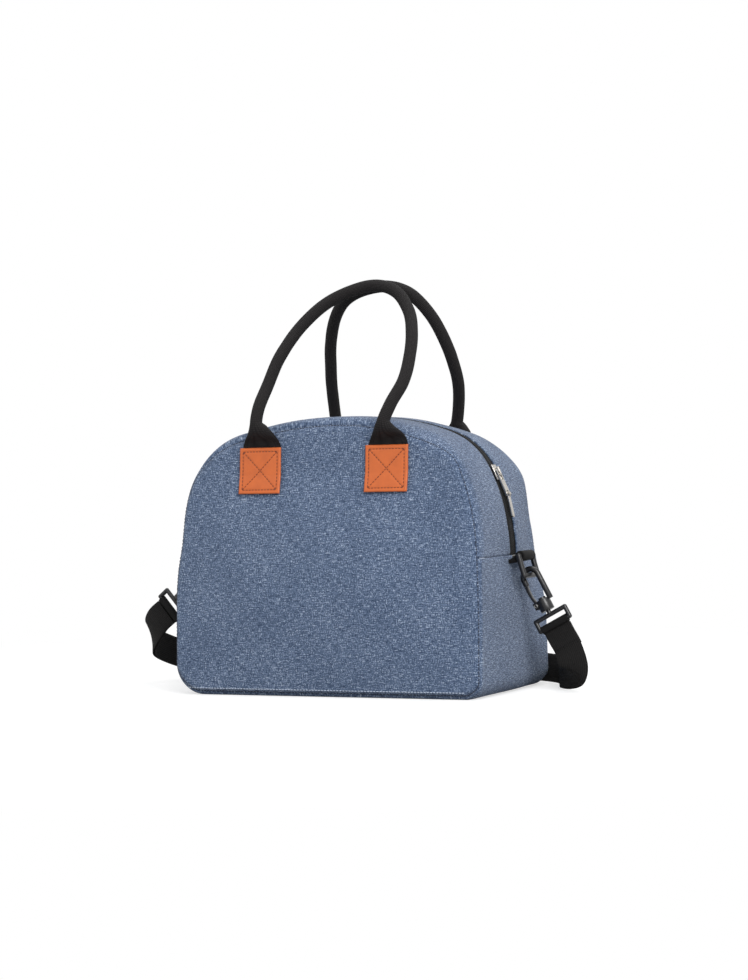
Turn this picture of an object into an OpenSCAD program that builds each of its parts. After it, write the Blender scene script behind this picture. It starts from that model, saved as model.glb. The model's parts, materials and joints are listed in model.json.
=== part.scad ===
// Insulated lunch bag: an arched fabric box with a zipped mouth, two rope handles and a clip-on strap.
// +Z is up, the front faces -Y, and the origin is the middle of the base on the floor.

/* [Bag] */
// Width across the base
bag_w = 282; // [240:1:340]
// Height to the top of the arch
bag_h = 234; // [200:1:280]
// Depth at the base
base_depth = 164; // [140:1:196]
// Depth at the top of the arch
top_depth = 144; // [122:1:172]
// Height of the fold line, where the zip ends and the mouth opens
fold_h = 115; // [100:1:125]
// How far the top of the arch leans to the right
apex_x = 9.5; // [0:0.5:14]
// Radius of the right side's curve, along which the slider runs
side_r = 170; // [150:1:200]
// Radius of the left side's curve, which slumps a little more
slump_r = 225; // [200:1:240]
// Radius of the right shoulder
shoulder_r = 64; // [50:1:80]
// Radius of the left shoulder
slump_shoulder_r = 80; // [64:1:90]
// Radius of the bottom corners
base_r = 14; // [8:1:24]

/* [Layers] */
// Thickness of the outer fabric
fabric_t = 1.2; // [0.8:0.1:2]
// Thickness of the foam
foam_t = 4; // [2:0.5:6]
// Thickness of the foil lining
lining_t = 0.8; // [0.4:0.1:1.2]

/* [Zip] */
// Half of the gap between the two fabric strips
zip_half = 6; // [5:0.5:8]
// Half of the width that the teeth take
teeth_half = 2.6; // [2:0.1:3]
// How far each tape runs in under its strip
tape_half = 14; // [11:0.5:18]
// Thickness of the tape
tape_t = 0.7; // [0.5:0.1:1]
// Where the slider stands on the side's curve, in degrees above its start
slider_turn = 24; // [14:1:25]
// Length of the slider
slider_l = 14; // [12:0.5:16]
// Width of the slider
slider_w = 8.8; // [8:0.1:10]
// Length of the pull's link
link_l = 22; // [20:1:32]
// Width of the pull's link
link_w = 8; // [6:0.5:9]
// Length of the pull's tab
tab_l = 20; // [18:1:34]
// Width of the pull's tab
tab_w = 4.6; // [3.6:0.2:6]

/* [Handles] */
// Side of the square leather patch
patch_w = 39; // [34:1:46]
// Thickness of the leather
patch_t = 1.8; // [1:0.1:2.4]
// Distance from the middle to each patch
patch_x = 58.5; // [54:0.5:60]
// Distance from the top of the arch down to the patches' middle
patch_drop = 44; // [42:1:50]
// Width of the webbing under the patch
end_w = 36; // [30:1:38]
// Thickness of the webbing under the patch
end_t = 1.8; // [1.2:0.1:2.4]
// Diameter of the handle
rope_d = 11.5; // [10:0.5:13]
// Diameter of the cord inside the handle
core_d = 8; // [6:0.5:9]

/* [Rings and hooks] */
// Width of the strap's webbing
strap_w = 25; // [20:1:25]
// Thickness of the strap's webbing
strap_t = 1.6; // [1.2:0.1:2]
// Distance from the bag's side to the ring's upper bar
tab_reach = 10.5; // [9:0.5:14]
// Diameter of the ring's bars
ring_d = 4.6; // [4:0.1:5]
// Height of the ring from bar to bar
ring_drop = 17; // [16:0.5:20]
// Lean of the rings away from the bag
ring_lean = 16; // [0:1:20]
// Lean of the right hook away from the bag
right_tilt = 28; // [20:1:35]
// Lean of the left hook away from the bag
left_tilt = 50; // [40:1:55]
// Radius of the hook's round end, to the middle of its bar
claw_r = 7; // [6.5:0.1:8]
// Diameter of the hook's bar
claw_d = 4.8; // [4:0.1:5.2]
// Length of the hook's straight side
spine_l = 21; // [20:0.5:24]
// Radius of the hook's barrel
barrel_r = 6; // [5.5:0.1:6.5]
// Length of the hook's barrel
barrel_l = 10; // [8:0.5:12]
// Diameter of the swivel post
post_d = 3.8; // [3:0.1:4]
// Distance from the hook's middle to the strap's bar
loop_reach = 44; // [43:0.5:48]
// Diameter of the strap loop's bars
loop_d = 3.8; // [3:0.1:4]
// Diameter of the gate's pin
pin_d = 2; // [1.6:0.1:2.2]

/* [Clearances] */
// Gap between pieces that move apart
gap = 0.3; // [0.25:0.05:0.4]
// Radial gap round a pin or post that turns
pin_gap = 0.1; // [0.05:0.01:0.15]

/* [Hidden] */
$fn = 32;

fabric_blue = [0.36, 0.44, 0.58];
foam_white = [0.93, 0.93, 0.9];
foil_silver = [0.78, 0.8, 0.83];
leather_tan = [0.8, 0.42, 0.24];
webbing_black = [0.1, 0.1, 0.1];
plastic_black = [0.06, 0.06, 0.065];
metal_silver = [0.75, 0.74, 0.72];

far = 400;                                  // longer than anything that it cuts
side_turn = 25;                             // where the right side's curve meets its shoulder
slump_turn = 27;                            // where the left side's curve meets its shoulder
shoulder_turn = 70;                         // where a shoulder meets the top's curve
inner_t = fabric_t + foam_t;                // depth of the lining's outer face
wall_t = inner_t + lining_t;
lean = atan((base_depth - top_depth) / 2 / bag_h);
patch_z = bag_h - patch_drop;
upper_z = fold_h + gap;                     // where the pieces above the fold start

// ---- The outline of the bag, seen from the front ----
// Radius of the top's curve on one side, whose apex is ax from the middle of the bag
function top_r(r, s, a, ax) =
    (bag_w / 2 - ax - r * (1 - cos(a)) - s * (cos(a) - cos(shoulder_turn))) / cos(shoulder_turn);
// Height at which that side stops being straight
function start_z(r, s, a, ax) = bag_h - r * sin(a) - s * (sin(shoulder_turn) - sin(a))
    - top_r(r, s, a, ax) * (1 - sin(shoulder_turn));
function arc(c, r, a0, a1, n) = [for (i = [0:n]) c + r * [cos(a0 + (a1 - a0) * i / n),
    sin(a0 + (a1 - a0) * i / n)]];
// One side of the outline from the base up to the apex, t in from the outside
function side_points(r, s, a, ax, t) = let (
    z0 = start_z(r, s, a, ax),
    side_c = [bag_w / 2 - r, z0],
    shoulder_c = side_c + (r - s) * [cos(a), sin(a)],
    top_c = shoulder_c + (s - top_r(r, s, a, ax)) * [cos(shoulder_turn), sin(shoulder_turn)])
    concat(arc([bag_w / 2 - base_r, base_r], base_r - t, -90, 0, 4),
        arc(side_c, r - t, 0, a, 6),
        arc(shoulder_c, s - t, a + 6, shoulder_turn, 6),
        arc(top_c, top_r(r, s, a, ax) - t, shoulder_turn + 4, 90, 5));
function outline(t) = let (
    right = side_points(side_r, shoulder_r, side_turn, apex_x, t),
    left = side_points(slump_r, slump_shoulder_r, slump_turn, -apex_x, t))
    concat(right, [for (i = [len(left) - 2:-1:0]) [-left[i].x, left[i].y]]);

// Half of the depth at height z, o in from the outside
function wall_y(o, z) = base_depth / 2 - o - (base_depth - top_depth) / 2 * z / bag_h;

// The outline, run through from front to back
module prism(t) {
    rotate([90, 0, 0]) linear_extrude(height = far, center = true) polygon(outline(t));
}

// A shape in depth and height, run through from side to side
module from_side(points) {
    rotate([90, 0, 90]) linear_extrude(height = far, center = true) polygon(points);
}

// The front wall's layer from o0 to o1, t in from the outline
module wall_layer(o0, o1, t, z0, z1) {
    intersection() {
        prism(t);
        from_side([[-wall_y(o0, z0), z0], [-wall_y(o1, z0), z0],
            [-wall_y(o1, z1), z1], [-wall_y(o0, z1), z1]]);
    }
}

// The gusset's layer from t0 to t1 in, from o behind the front to the line y1
module front_band(t0, t1, o, y1, z0, z1) {
    intersection() {
        difference() {
            prism(t0);
            prism(t1);
        }
        from_side([[-wall_y(o, z0), z0], [y1, z0], [y1, z1], [-wall_y(o, z1), z1]]);
    }
}

// The same, from front to back
module full_band(t0, t1, o, z0, z1) {
    intersection() {
        difference() {
            prism(t0);
            prism(t1);
        }
        from_side([[-wall_y(o, z0), z0], [wall_y(o, z0), z0],
            [wall_y(o, z1), z1], [-wall_y(o, z1), z1]]);
    }
}

module to_back() {
    mirror([0, 1, 0]) children();
}

// ---- Lower half: the tub ----
module base_gusset() {
    color(fabric_blue) full_band(0, fabric_t, fabric_t, -1, fold_h);
}

module base_foam() {
    color(foam_white) full_band(fabric_t, inner_t, inner_t, -1, fold_h);
}

module lining_lower() {
    color(foil_silver) {
        full_band(inner_t, wall_t, inner_t, -1, fold_h);
        wall_layer(inner_t, wall_t, inner_t, -1, fold_h);
        to_back() wall_layer(inner_t, wall_t, inner_t, -1, fold_h);
    }
}

module front_panel_lower() {
    color(fabric_blue) wall_layer(0, fabric_t, 0, -1, fold_h);
}

module back_panel_lower() {
    color(fabric_blue) to_back() wall_layer(0, fabric_t, 0, -1, fold_h);
}

module front_foam_lower() {
    color(foam_white) wall_layer(fabric_t, inner_t, fabric_t, -1, fold_h);
}

module back_foam_lower() {
    color(foam_white) to_back() wall_layer(fabric_t, inner_t, fabric_t, -1, fold_h);
}

// ---- Upper half: two flaps that open at the zip ----
module flap_panel() {
    color(fabric_blue) wall_layer(0, fabric_t, 0, upper_z, bag_h + 1);
}

module flap_foam() {
    color(foam_white) wall_layer(fabric_t, inner_t, fabric_t, upper_z, bag_h + 1);
}

module flap_strip() {
    color(fabric_blue) front_band(0, fabric_t, fabric_t, -zip_half, upper_z, bag_h + 1);
}

module flap_strip_foam() {
    color(foam_white) front_band(fabric_t, inner_t, inner_t, -tape_half, upper_z, bag_h + 1);
}

module flap_lining() {
    color(foil_silver) {
        front_band(inner_t, wall_t, inner_t, -tape_half, upper_z, bag_h + 1);
        wall_layer(inner_t, wall_t, inner_t, upper_z, bag_h + 1);
    }
}

// ---- Zip ----
arc_x = bag_w / 2 - side_r;
arc_z = start_z(side_r, shoulder_r, side_turn, apex_x);
teeth_in = gap - 0.1;                       // the teeth stand this far below the strips' faces
neck_w = 2;                                 // width of the slider's neck, which parts the teeth
neck_l = 3.5;
plate_t = 1.3;
flange_t = 1.2;
bail_w = 2.2;
eye_x = 2.6;                                // height of the link's pin above the strips
eye_d = 1.6;

// Stands a piece on the right side's curve: +X is out of the bag and +Z is up the curve
module on_curve(turn) {
    translate([arc_x, 0, arc_z]) rotate([0, -turn, 0]) translate([side_r, 0, 0]) children();
}

// Room for the slider's neck between the teeth
module neck_room() {
    on_curve(slider_turn) translate([-3, -neck_w / 2 - gap, -slider_l / 2 - gap])
        cube([6, neck_w + 2 * gap, neck_l + 2 * gap]);
}

module flap_tape() {
    color(webbing_black) difference() {
        intersection() {
            front_band(fabric_t, fabric_t + tape_t, inner_t, -gap, upper_z, bag_h + 1);
            translate([-far / 2, -tape_half, 0]) cube([far, tape_half, far]);
        }
        neck_room();
    }
}

module flap_teeth() {
    color(webbing_black) difference() {
        intersection() {
            front_band(teeth_in, fabric_t, inner_t, -gap, upper_z, bag_h + 1);
            translate([-far / 2, -teeth_half, 0]) cube([far, teeth_half, far]);
        }
        neck_room();
    }
}

// A crimped stop across the zip at each end, sewn to the side below the fold
module zip_end_stops() {
    color(metal_silver) intersection() {
        difference() {
            prism(-1.2);
            prism(0);
        }
        translate([-far / 2, -4, fold_h - 3]) cube([far, 8, 3]);
    }
}

module zip_slider() {
    top_x = 0.1;
    under_x = -fabric_t - tape_t - gap;
    color(metal_silver) on_curve(slider_turn) {
        translate([top_x, -slider_w / 2, -slider_l / 2]) cube([plate_t, slider_w, slider_l]);
        translate([under_x - plate_t, -slider_w / 2, -slider_l / 2]) cube([plate_t, slider_w, slider_l]);
        for (s = [-1, 1]) translate([-fabric_t + gap, s * (slider_w - flange_t) / 2 - flange_t / 2,
            -slider_l / 2]) cube([fabric_t - gap + top_x, flange_t, slider_l]);
        translate([under_x, -neck_w / 2, -slider_l / 2]) cube([top_x - under_x, neck_w, neck_l]);
        difference() {
            translate([top_x + plate_t, -bail_w / 2, -4]) cube([3.2, bail_w, 8]);
            translate([top_x + plate_t, -bail_w, -2.6]) cube([2.2, 2 * bail_w, 5.2]);
        }
    }
}

rail_z = -link_l + 1;                       // the rail at the link's end that carries the tab
tab_lean = 12;                              // the tab hangs nearer to plumb than the link
module pull_link() {
    arm_w = 1.7;
    color(metal_silver) on_curve(slider_turn) {
        translate([eye_x, 0, 0]) rotate([90, 0, 0]) cylinder(d = eye_d, h = link_w - arm_w, center = true);
        for (s = [-1, 1]) translate([eye_x - 0.7, s * (link_w - arm_w) / 2 - arm_w / 2, -9])
            cube([1.4, arm_w, 9.8]);
        difference() {
            translate([eye_x - 0.7, -link_w / 2, -link_l + 0.4]) cube([1.4, link_w, link_l - 8.4]);
            translate([0, -2, rail_z + 0.6]) cube([6, 4, 2.6]);
        }
    }
}

module pull_tab() {
    ring_r = 2.4;
    color(metal_silver) on_curve(slider_turn) translate([eye_x, 0, rail_z]) rotate([0, tab_lean, 0]) {
        difference() {
            rotate([90, 0, 0]) cylinder(r = ring_r, h = 3, center = true);
            rotate([90, 0, 0]) cylinder(r = ring_r - 1, h = 4, center = true);
        }
        translate([-0.9, -tab_w / 2, -tab_l + tab_w / 2]) cube([1.8, tab_w, tab_l - tab_w / 2 - 2]);
        translate([-0.9, 0, -tab_l + tab_w / 2]) rotate([0, 90, 0]) cylinder(d = tab_w, h = 1.8);
    }
}

// ---- Handles ----
// Stands a piece on the front panel at height z: +Z is up the panel and -Y is out of it
module on_front(z) {
    translate([0, -wall_y(0, z), z]) rotate([-lean, 0, 0]) children();
}

end_up = 30;                                // how far the webbing runs above the patch's middle
module flap_webbing(s) {
    color(webbing_black) on_front(patch_z) translate([s * patch_x - end_w / 2, -end_t, -patch_w / 2 + 2])
        cube([end_w, end_t, end_up + patch_w / 2 - 2]);
}

module flap_patch(s) {
    color(leather_tan) on_front(patch_z)
        translate([s * patch_x - patch_w / 2, -end_t - patch_t, -patch_w / 2])
            cube([patch_w, patch_t, patch_w]);
}

// The handles' middle lines, from the left webbing to the right one
rope_y = wall_y(0, patch_z + end_up) + rope_d / 2 + 0.8;
rope_z = patch_z + end_up + gap + 0.2;
// A route's points: x in patch distances, y in the ends' distance from the middle, and z above the ends
function route(s, points) = [for (p = points) [p.x * patch_x, s * p.y * rope_y, rope_z + p.z]];
front_rope = route(-1, [[-1, 1, 0], [-1, 1, 9.5], [-0.99, 0.95, 21.5], [-0.94, 0.78, 42.5],
    [-0.84, 0.62, 66.5], [-0.65, 0.4, 91.5], [-0.35, 0.21, 111.5], [0.04, 0.11, 122.5],
    [0.42, 0.1, 125.5], [0.75, 0.14, 118.5], [1, 0.25, 101.5], [1.14, 0.42, 82.5], [1.2, 0.59, 62.5],
    [1.2, 0.77, 41.5], [1.09, 0.93, 22.5],
    [1, 1, 9.5], [1, 1, 0]]);
back_rope = route(1, [[-1, 1, 0], [-1, 1, 9.5], [-0.99, 0.95, 21.5], [-0.92, 0.78, 42.5],
    [-0.84, 0.64, 61.5], [-0.75, 0.51, 79.5], [-0.55, 0.32, 100.5], [-0.27, 0.16, 115.5],
    [0.07, 0.1, 123.5], [0.46, 0.1, 125.5], [0.8, 0.13, 118.5], [1.05, 0.24, 100.5], [1.18, 0.39, 79.5],
    [1.22, 0.57, 58.5], [1.19, 0.75, 40.5], [1.09, 0.92, 22.5], [1, 1, 9.5], [1, 1, 0]]);

// A point on a smooth curve through the points p, u counted in points
function at(p, u) = let (i = min(floor(u), len(p) - 2), f = u - i,
    a = p[max(i - 1, 0)], b = p[i], c = p[i + 1], d = p[min(i + 2, len(p) - 1)])
    0.5 * (2 * b + (c - a) * f + (2 * a - 5 * b + 4 * c - d) * f * f + (3 * b - a - 3 * c + d) * f * f * f);
function unit(v) = v / norm(v);
function along(p, u) = unit(at(p, min(u + 0.05, len(p) - 1)) - at(p, max(u - 0.05, 0)));

// A closed skin over rings of equal length
module skin(rings) {
    n = len(rings[0]);
    last = len(rings) - 1;
    polyhedron([for (r = rings) each r], concat([[for (j = [0:n - 1]) j]],
        [for (i = [0:last - 1], j = [0:n - 1], top = [0, 1]) let (a = i * n + j, b = i * n + (j + 1) % n)
            top == 0 ? [a, a + n, b + n] : [a, b + n, b]],
        [[for (j = [n - 1:-1:0]) last * n + j]]), convexity = 10);
}

// A rope of diameter d along p, with two rings for each of its points
module rope(p, d, sides) {
    side = [0, 1, 0];
    skin([for (k = [0:2 * (len(p) - 1)]) let (u = k / 2, t = k == 0 ? [0, 0, 1]
        : k == 2 * (len(p) - 1) ? [0, 0, -1] : along(p, u), a = unit(cross(t, side)), b = cross(t, a))
        [for (j = [0:sides - 1]) at(p, u) + d / 2 * (a * cos(360 * j / sides) + b * sin(360 * j / sides))]]);
}

module handle_cover(p) {
    color(webbing_black) difference() {
        rope(p, rope_d, 12);
        rope(p, core_d, 12);
    }
}

module handle_core(p) {
    color(foam_white) rope(p, core_d, 12);
}

// ---- Rings and their tabs ----
bar_x = bag_w / 2 + tab_reach;
bar_z = fold_h - 0.5;
ring_w = strap_w + 5.6;                     // between the middles of the ring's legs
loop_t = 1.7;                               // thickness of the tab's webbing
// The tab's webbing, sewn to the side below the fold and rising to a loop round the ring's upper bar
module ring_tab(s) {
    root_in = bag_w / 2 - 8;
    root_z = fold_h - 8.5;
    root_h = 5.3;
    inner = ring_d / 2 + gap;
    outer = inner + loop_t;
    edge = outer - 0.2;                     // where the flat webbing runs into the loop
    color(webbing_black) rotate([90, 0, 0]) difference() {
        linear_extrude(height = strap_w, center = true) difference() {
            union() {
                polygon([[s * root_in, root_z], [s * root_in, root_z + root_h],
                    [s * (bag_w / 2 + 1.8), root_z + root_h], [s * bar_x, bar_z + edge],
                    [s * bar_x, bar_z - edge]]);
                translate([s * bar_x, bar_z]) circle(r = outer);
            }
            translate([s * bar_x, bar_z]) circle(r = inner);
        }
        linear_extrude(height = far, center = true) polygon(outline(0));
    }
}

// A closed frame of round bars, w by h between the bars' middles, hanging from its top bar
module round_frame(w, h, d) {
    for (z = [0, -h]) translate([0, 0, z]) rotate([90, 0, 0]) cylinder(d = d, h = w, center = true);
    for (s = [-1, 1]) {
        translate([0, s * w / 2, -h]) cylinder(d = d, h = h);
        for (z = [0, -h]) translate([0, s * w / 2, z]) sphere(d = d);
    }
}

module ring() {
    color(plastic_black) translate([bar_x, 0, bar_z]) rotate([0, -ring_lean, 0])
        round_frame(ring_w, ring_drop, ring_d);
}

// ---- Snap hooks ----
// The ring's lower bar hangs in the hook's round end, a gap below its top
hook_x = bar_x + ring_drop * sin(ring_lean);
hook_z = bar_z - ring_drop * cos(ring_lean) - (claw_r - claw_d / 2 - gap - ring_d / 2);
barrel_top = -spine_l;
gate_pin = [-claw_r + 1, 0, barrel_top - 3];
lug_w = 8;
lug_h = 6;
gate_w = 3.6;
tip_l = 5;                                  // how far the hook's tip reaches below its round end

// Stands a piece at the middle of the right hook's round end: -Z is down the hook
module on_hook(tilt) {
    translate([hook_x, 0, hook_z]) rotate([0, -tilt, 0]) children();
}

module hook(tilt) {
    color(plastic_black) on_hook(tilt) {
        rotate([90, 0, 0]) rotate_extrude(angle = 180) translate([claw_r, 0]) circle(d = claw_d);
        translate([-claw_r, 0, -tip_l]) cylinder(d = claw_d, h = tip_l);
        translate([claw_r, 0, barrel_top - 2]) cylinder(d = claw_d, h = spine_l + 2);
        difference() {
            union() {
                translate([0, 0, barrel_top - barrel_l]) cylinder(r = barrel_r, h = barrel_l);
                translate([gate_pin.x - 2.4, -lug_w / 2, barrel_top - lug_h]) cube([5, lug_w, lug_h]);
            }
            translate([0, 0, barrel_top - barrel_l - 1])
                cylinder(r = post_d / 2 + pin_gap, h = barrel_l + 2);
            translate([gate_pin.x - 3, -gate_w / 2 - gap, barrel_top - lug_h - 1])
                cube([4.6, gate_w + 2 * gap, lug_h + 2]);
            translate(gate_pin) rotate([90, 0, 0])
                cylinder(r = pin_d / 2 + pin_gap, h = lug_w + 2, center = true);
        }
    }
}

// A bowed lever from its pin up to just short of the hook's tip
module gate(tilt) {
    top_z = -tip_l - gap;
    color(plastic_black) on_hook(tilt) {
        rotate([90, 0, 0]) linear_extrude(height = gate_w, center = true) difference() {
            polygon([[gate_pin.x - 1.2, gate_pin.z], [gate_pin.x - 2.6, gate_pin.z + 8],
                [-claw_r - 2, top_z - 4], [-claw_r - 1.6, top_z], [-claw_r + 1, top_z],
                [-claw_r + 0.4, top_z - 5], [gate_pin.x - 0.6, gate_pin.z + 8],
                [gate_pin.x + 1.2, gate_pin.z]]);
            translate([gate_pin.x, gate_pin.z]) circle(d = pin_d);
        }
        translate(gate_pin) rotate([90, 0, 0]) cylinder(d = pin_d, h = lug_w, center = true);
    }
}

// Three turns of wire round the gate's pin, outside the lug
module gate_spring(tilt) {
    wire = 0.6;
    color(metal_silver) on_hook(tilt) translate(gate_pin) rotate([90, 0, 0]) for (i = [0:2])
        translate([0, 0, lug_w / 2 + wire * (i + 0.5)]) rotate_extrude() translate([pin_d / 2 + wire / 2, 0])
            circle(d = wire);
}

// The swivel post with its head above the barrel, and the frame that holds the strap below it
module swivel_loop(tilt) {
    head_t = 1.4;
    head_r = 3.3;
    post_top = barrel_top + 0.4 + head_t;
    loop_h = 9;
    color(metal_silver) on_hook(tilt) {
        translate([0, 0, loop_h - loop_reach]) cylinder(d = post_d, h = post_top + loop_reach - loop_h);
        translate([0, 0, post_top - head_t]) cylinder(r = head_r, h = head_t);
        translate([0, 0, loop_h - loop_reach]) rotate([0, 0, 90]) round_frame(strap_w + 4.4, loop_h, loop_d);
    }
}

// ---- Strap ----
// A point d below the middle of a hook's round end, on the hook's own line
function below_hook(s, tilt, d) = [s * (hook_x + d * sin(tilt)), 0, hook_z - d * cos(tilt)];
strap_start = loop_reach + loop_d / 2 + strap_t + 0.05;
// The strap from beside the right hook, down to the floor, behind the bag and up beside the left hook:
// x in halves of the bag's width, y in halves of its depth, and the height
floor_route = [[1.333, 0, 37], [1.355, 0.024, 24], [1.333, 0.11, 15], [1.262, 0.256, 13], [1.184, 0.451, 13],
    [1.128, 0.707, 13], [1.057, 0.951, 13], [0.915, 1.159, 13], [0.709, 1.268, 13.4], [0.426, 1.305, 15.2],
    [0.213, 1.305, 16.2], [0, 1.305, 15.2], [-0.213, 1.305, 13.4], [-0.426, 1.293, 13], [-0.709, 1.256, 13],
    [-0.95, 1.159, 13], [-1.135, 1.012, 14], [-1.291, 0.829, 17], [-1.411, 0.634, 22], [-1.489, 0.427, 29],
    [-1.518, 0.22, 37], [-1.489, 0.073, 47]];
// The strap's whole middle line
strap_points = concat([below_hook(1, right_tilt, strap_start), below_hook(1, right_tilt, strap_start + 8)],
    [for (p = floor_route) [p.x * bag_w / 2, p.y * base_depth / 2, p.z]],
    [below_hook(-1, left_tilt, strap_start + 12), below_hook(-1, left_tilt, strap_start)]);
// Which way the strap's width points at each of those points
strap_across = [[0.88, 0, 0.47], [0.88, 0, 0.47], [0.88, 0, 0.46], [0.93, 0.1, 0.2], [0.75, 0.1, -0.6],
    [0.25, 0.1, -0.95], [0, 0, -1], [0, 0, -1], [0, 0, -1], [0, 0, -1], [0, 0, -1], [0, 0, -1],
    [0, 0, -1], [0, 0, -1], [0, 0, -1], [0, 0, -1], [0, 0, -1], [0, 0, -1],
    [0, 0, -1], [0, 0, -1], [0, 0, -1], [0, 0, -1], [0.1, 0, -0.99], [0.3, 0.05, -0.95],
    [0.5, 0.03, -0.86], [0.64, 0, -0.77]];
adjuster_u = 12;                            // the adjuster sits on this point of the strap
layer_gap = 0.6;                            // between the strap and the run that doubles it

// A flat strip along the strap's line from u0 to u1, off to one side by out
module strip(u0, u1, out) {
    steps = ceil(2 * (u1 - u0));
    skin([for (k = [0:steps]) let (u = u0 + (u1 - u0) * k / steps, t = along(strap_points, u),
        w0 = unit(at(strap_across, u)), n = unit(cross(t, w0)), w = cross(n, t),
        c = at(strap_points, u) - out * n)
        [c + w * strap_w / 2 + n * strap_t / 2, c - w * strap_w / 2 + n * strap_t / 2,
         c - w * strap_w / 2 - n * strap_t / 2, c + w * strap_w / 2 - n * strap_t / 2]]);
}

module strap_webbing() {
    color(webbing_black) strip(0, len(strap_points) - 1, 0);
}

module strap_return() {
    color(webbing_black) strip(adjuster_u + 0.12, len(strap_points) - 1, strap_t + layer_gap);
}

adjuster_out = 1.5 * strap_t + layer_gap + gap;   // the adjuster's inner face, out from the strap's line
bar_r = 1.2;
module at_adjuster() {
    translate(strap_points[adjuster_u]) translate([0, adjuster_out + bar_r, 0]) children();
}

// A frame with a middle bar, which the strap's sewn end goes round
module strap_adjuster() {
    frame_w = 23;
    frame_h = strap_w + 4;
    color(plastic_black) at_adjuster() {
        for (x = [-frame_w / 2, 0, frame_w / 2]) translate([x, 0, -frame_h / 2])
            cylinder(r = bar_r, h = frame_h);
        for (s = [-1, 1]) translate([0, 0, s * frame_h / 2]) {
            rotate([0, 90, 0]) cylinder(r = bar_r, h = frame_w, center = true);
            for (e = [-1, 1]) translate([e * frame_w / 2, 0, 0]) sphere(r = bar_r);
        }
    }
}

module strap_sewn_end() {
    color(webbing_black) at_adjuster() difference() {
        cylinder(r = bar_r + strap_t, h = strap_w, center = true);
        cylinder(r = bar_r, h = strap_w + 2, center = true);
    }
}

// The webbing's turn round the loop's lower bar
module strap_turn(tilt) {
    color(webbing_black) on_hook(tilt) translate([0, 0, -loop_reach]) rotate([0, 90, 0]) difference() {
        cylinder(r = loop_d / 2 + strap_t, h = strap_w, center = true);
        cylinder(r = loop_d / 2, h = strap_w + 2, center = true);
    }
}

// The left ring and hook are the right ones, turned round
module to_left() {
    rotate([0, 0, 180]) children();
}

base_gusset();
base_foam();
lining_lower();
front_panel_lower();
back_panel_lower();
front_foam_lower();
back_foam_lower();
ring_tab(1);  // right_ring_tab
ring_tab(-1);  // left_ring_tab
zip_end_stops();
flap_panel();  // front_panel_upper
flap_foam();  // front_foam_upper
flap_strip();  // front_zip_strip
flap_strip_foam();  // front_strip_foam
flap_lining();  // front_lining_upper
flap_tape();  // front_zip_tape
flap_teeth();  // front_zip_teeth
flap_patch(-1);  // front_patch_left
flap_patch(1);  // front_patch_right
flap_webbing(-1);  // front_webbing_left
flap_webbing(1);  // front_webbing_right
to_back() flap_panel();  // back_panel_upper
to_back() flap_foam();  // back_foam_upper
to_back() flap_strip();  // back_zip_strip
to_back() flap_strip_foam();  // back_strip_foam
to_back() flap_lining();  // back_lining_upper
to_back() flap_tape();  // back_zip_tape
to_back() flap_teeth();  // back_zip_teeth
to_back() flap_patch(-1);  // back_patch_left
to_back() flap_patch(1);  // back_patch_right
to_back() flap_webbing(-1);  // back_webbing_left
to_back() flap_webbing(1);  // back_webbing_right
handle_cover(front_rope);  // front_handle_cover
handle_core(front_rope);  // front_handle_core
handle_cover(back_rope);  // back_handle_cover
handle_core(back_rope);  // back_handle_core
zip_slider();
pull_link();
pull_tab();
ring();  // right_ring
to_left() ring();  // left_ring
hook(right_tilt);  // right_hook
gate(right_tilt);  // right_gate
gate_spring(right_tilt);  // right_gate_spring
swivel_loop(right_tilt);  // right_swivel_loop
to_left() hook(left_tilt);  // left_hook
to_left() gate(left_tilt);  // left_gate
to_left() gate_spring(left_tilt);  // left_gate_spring
to_left() swivel_loop(left_tilt);  // left_swivel_loop
strap_webbing();
strap_return();
strap_adjuster();
strap_sewn_end();
strap_turn(right_tilt);  // strap_turn_right
to_left() strap_turn(left_tilt);  // strap_turn_left
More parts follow.
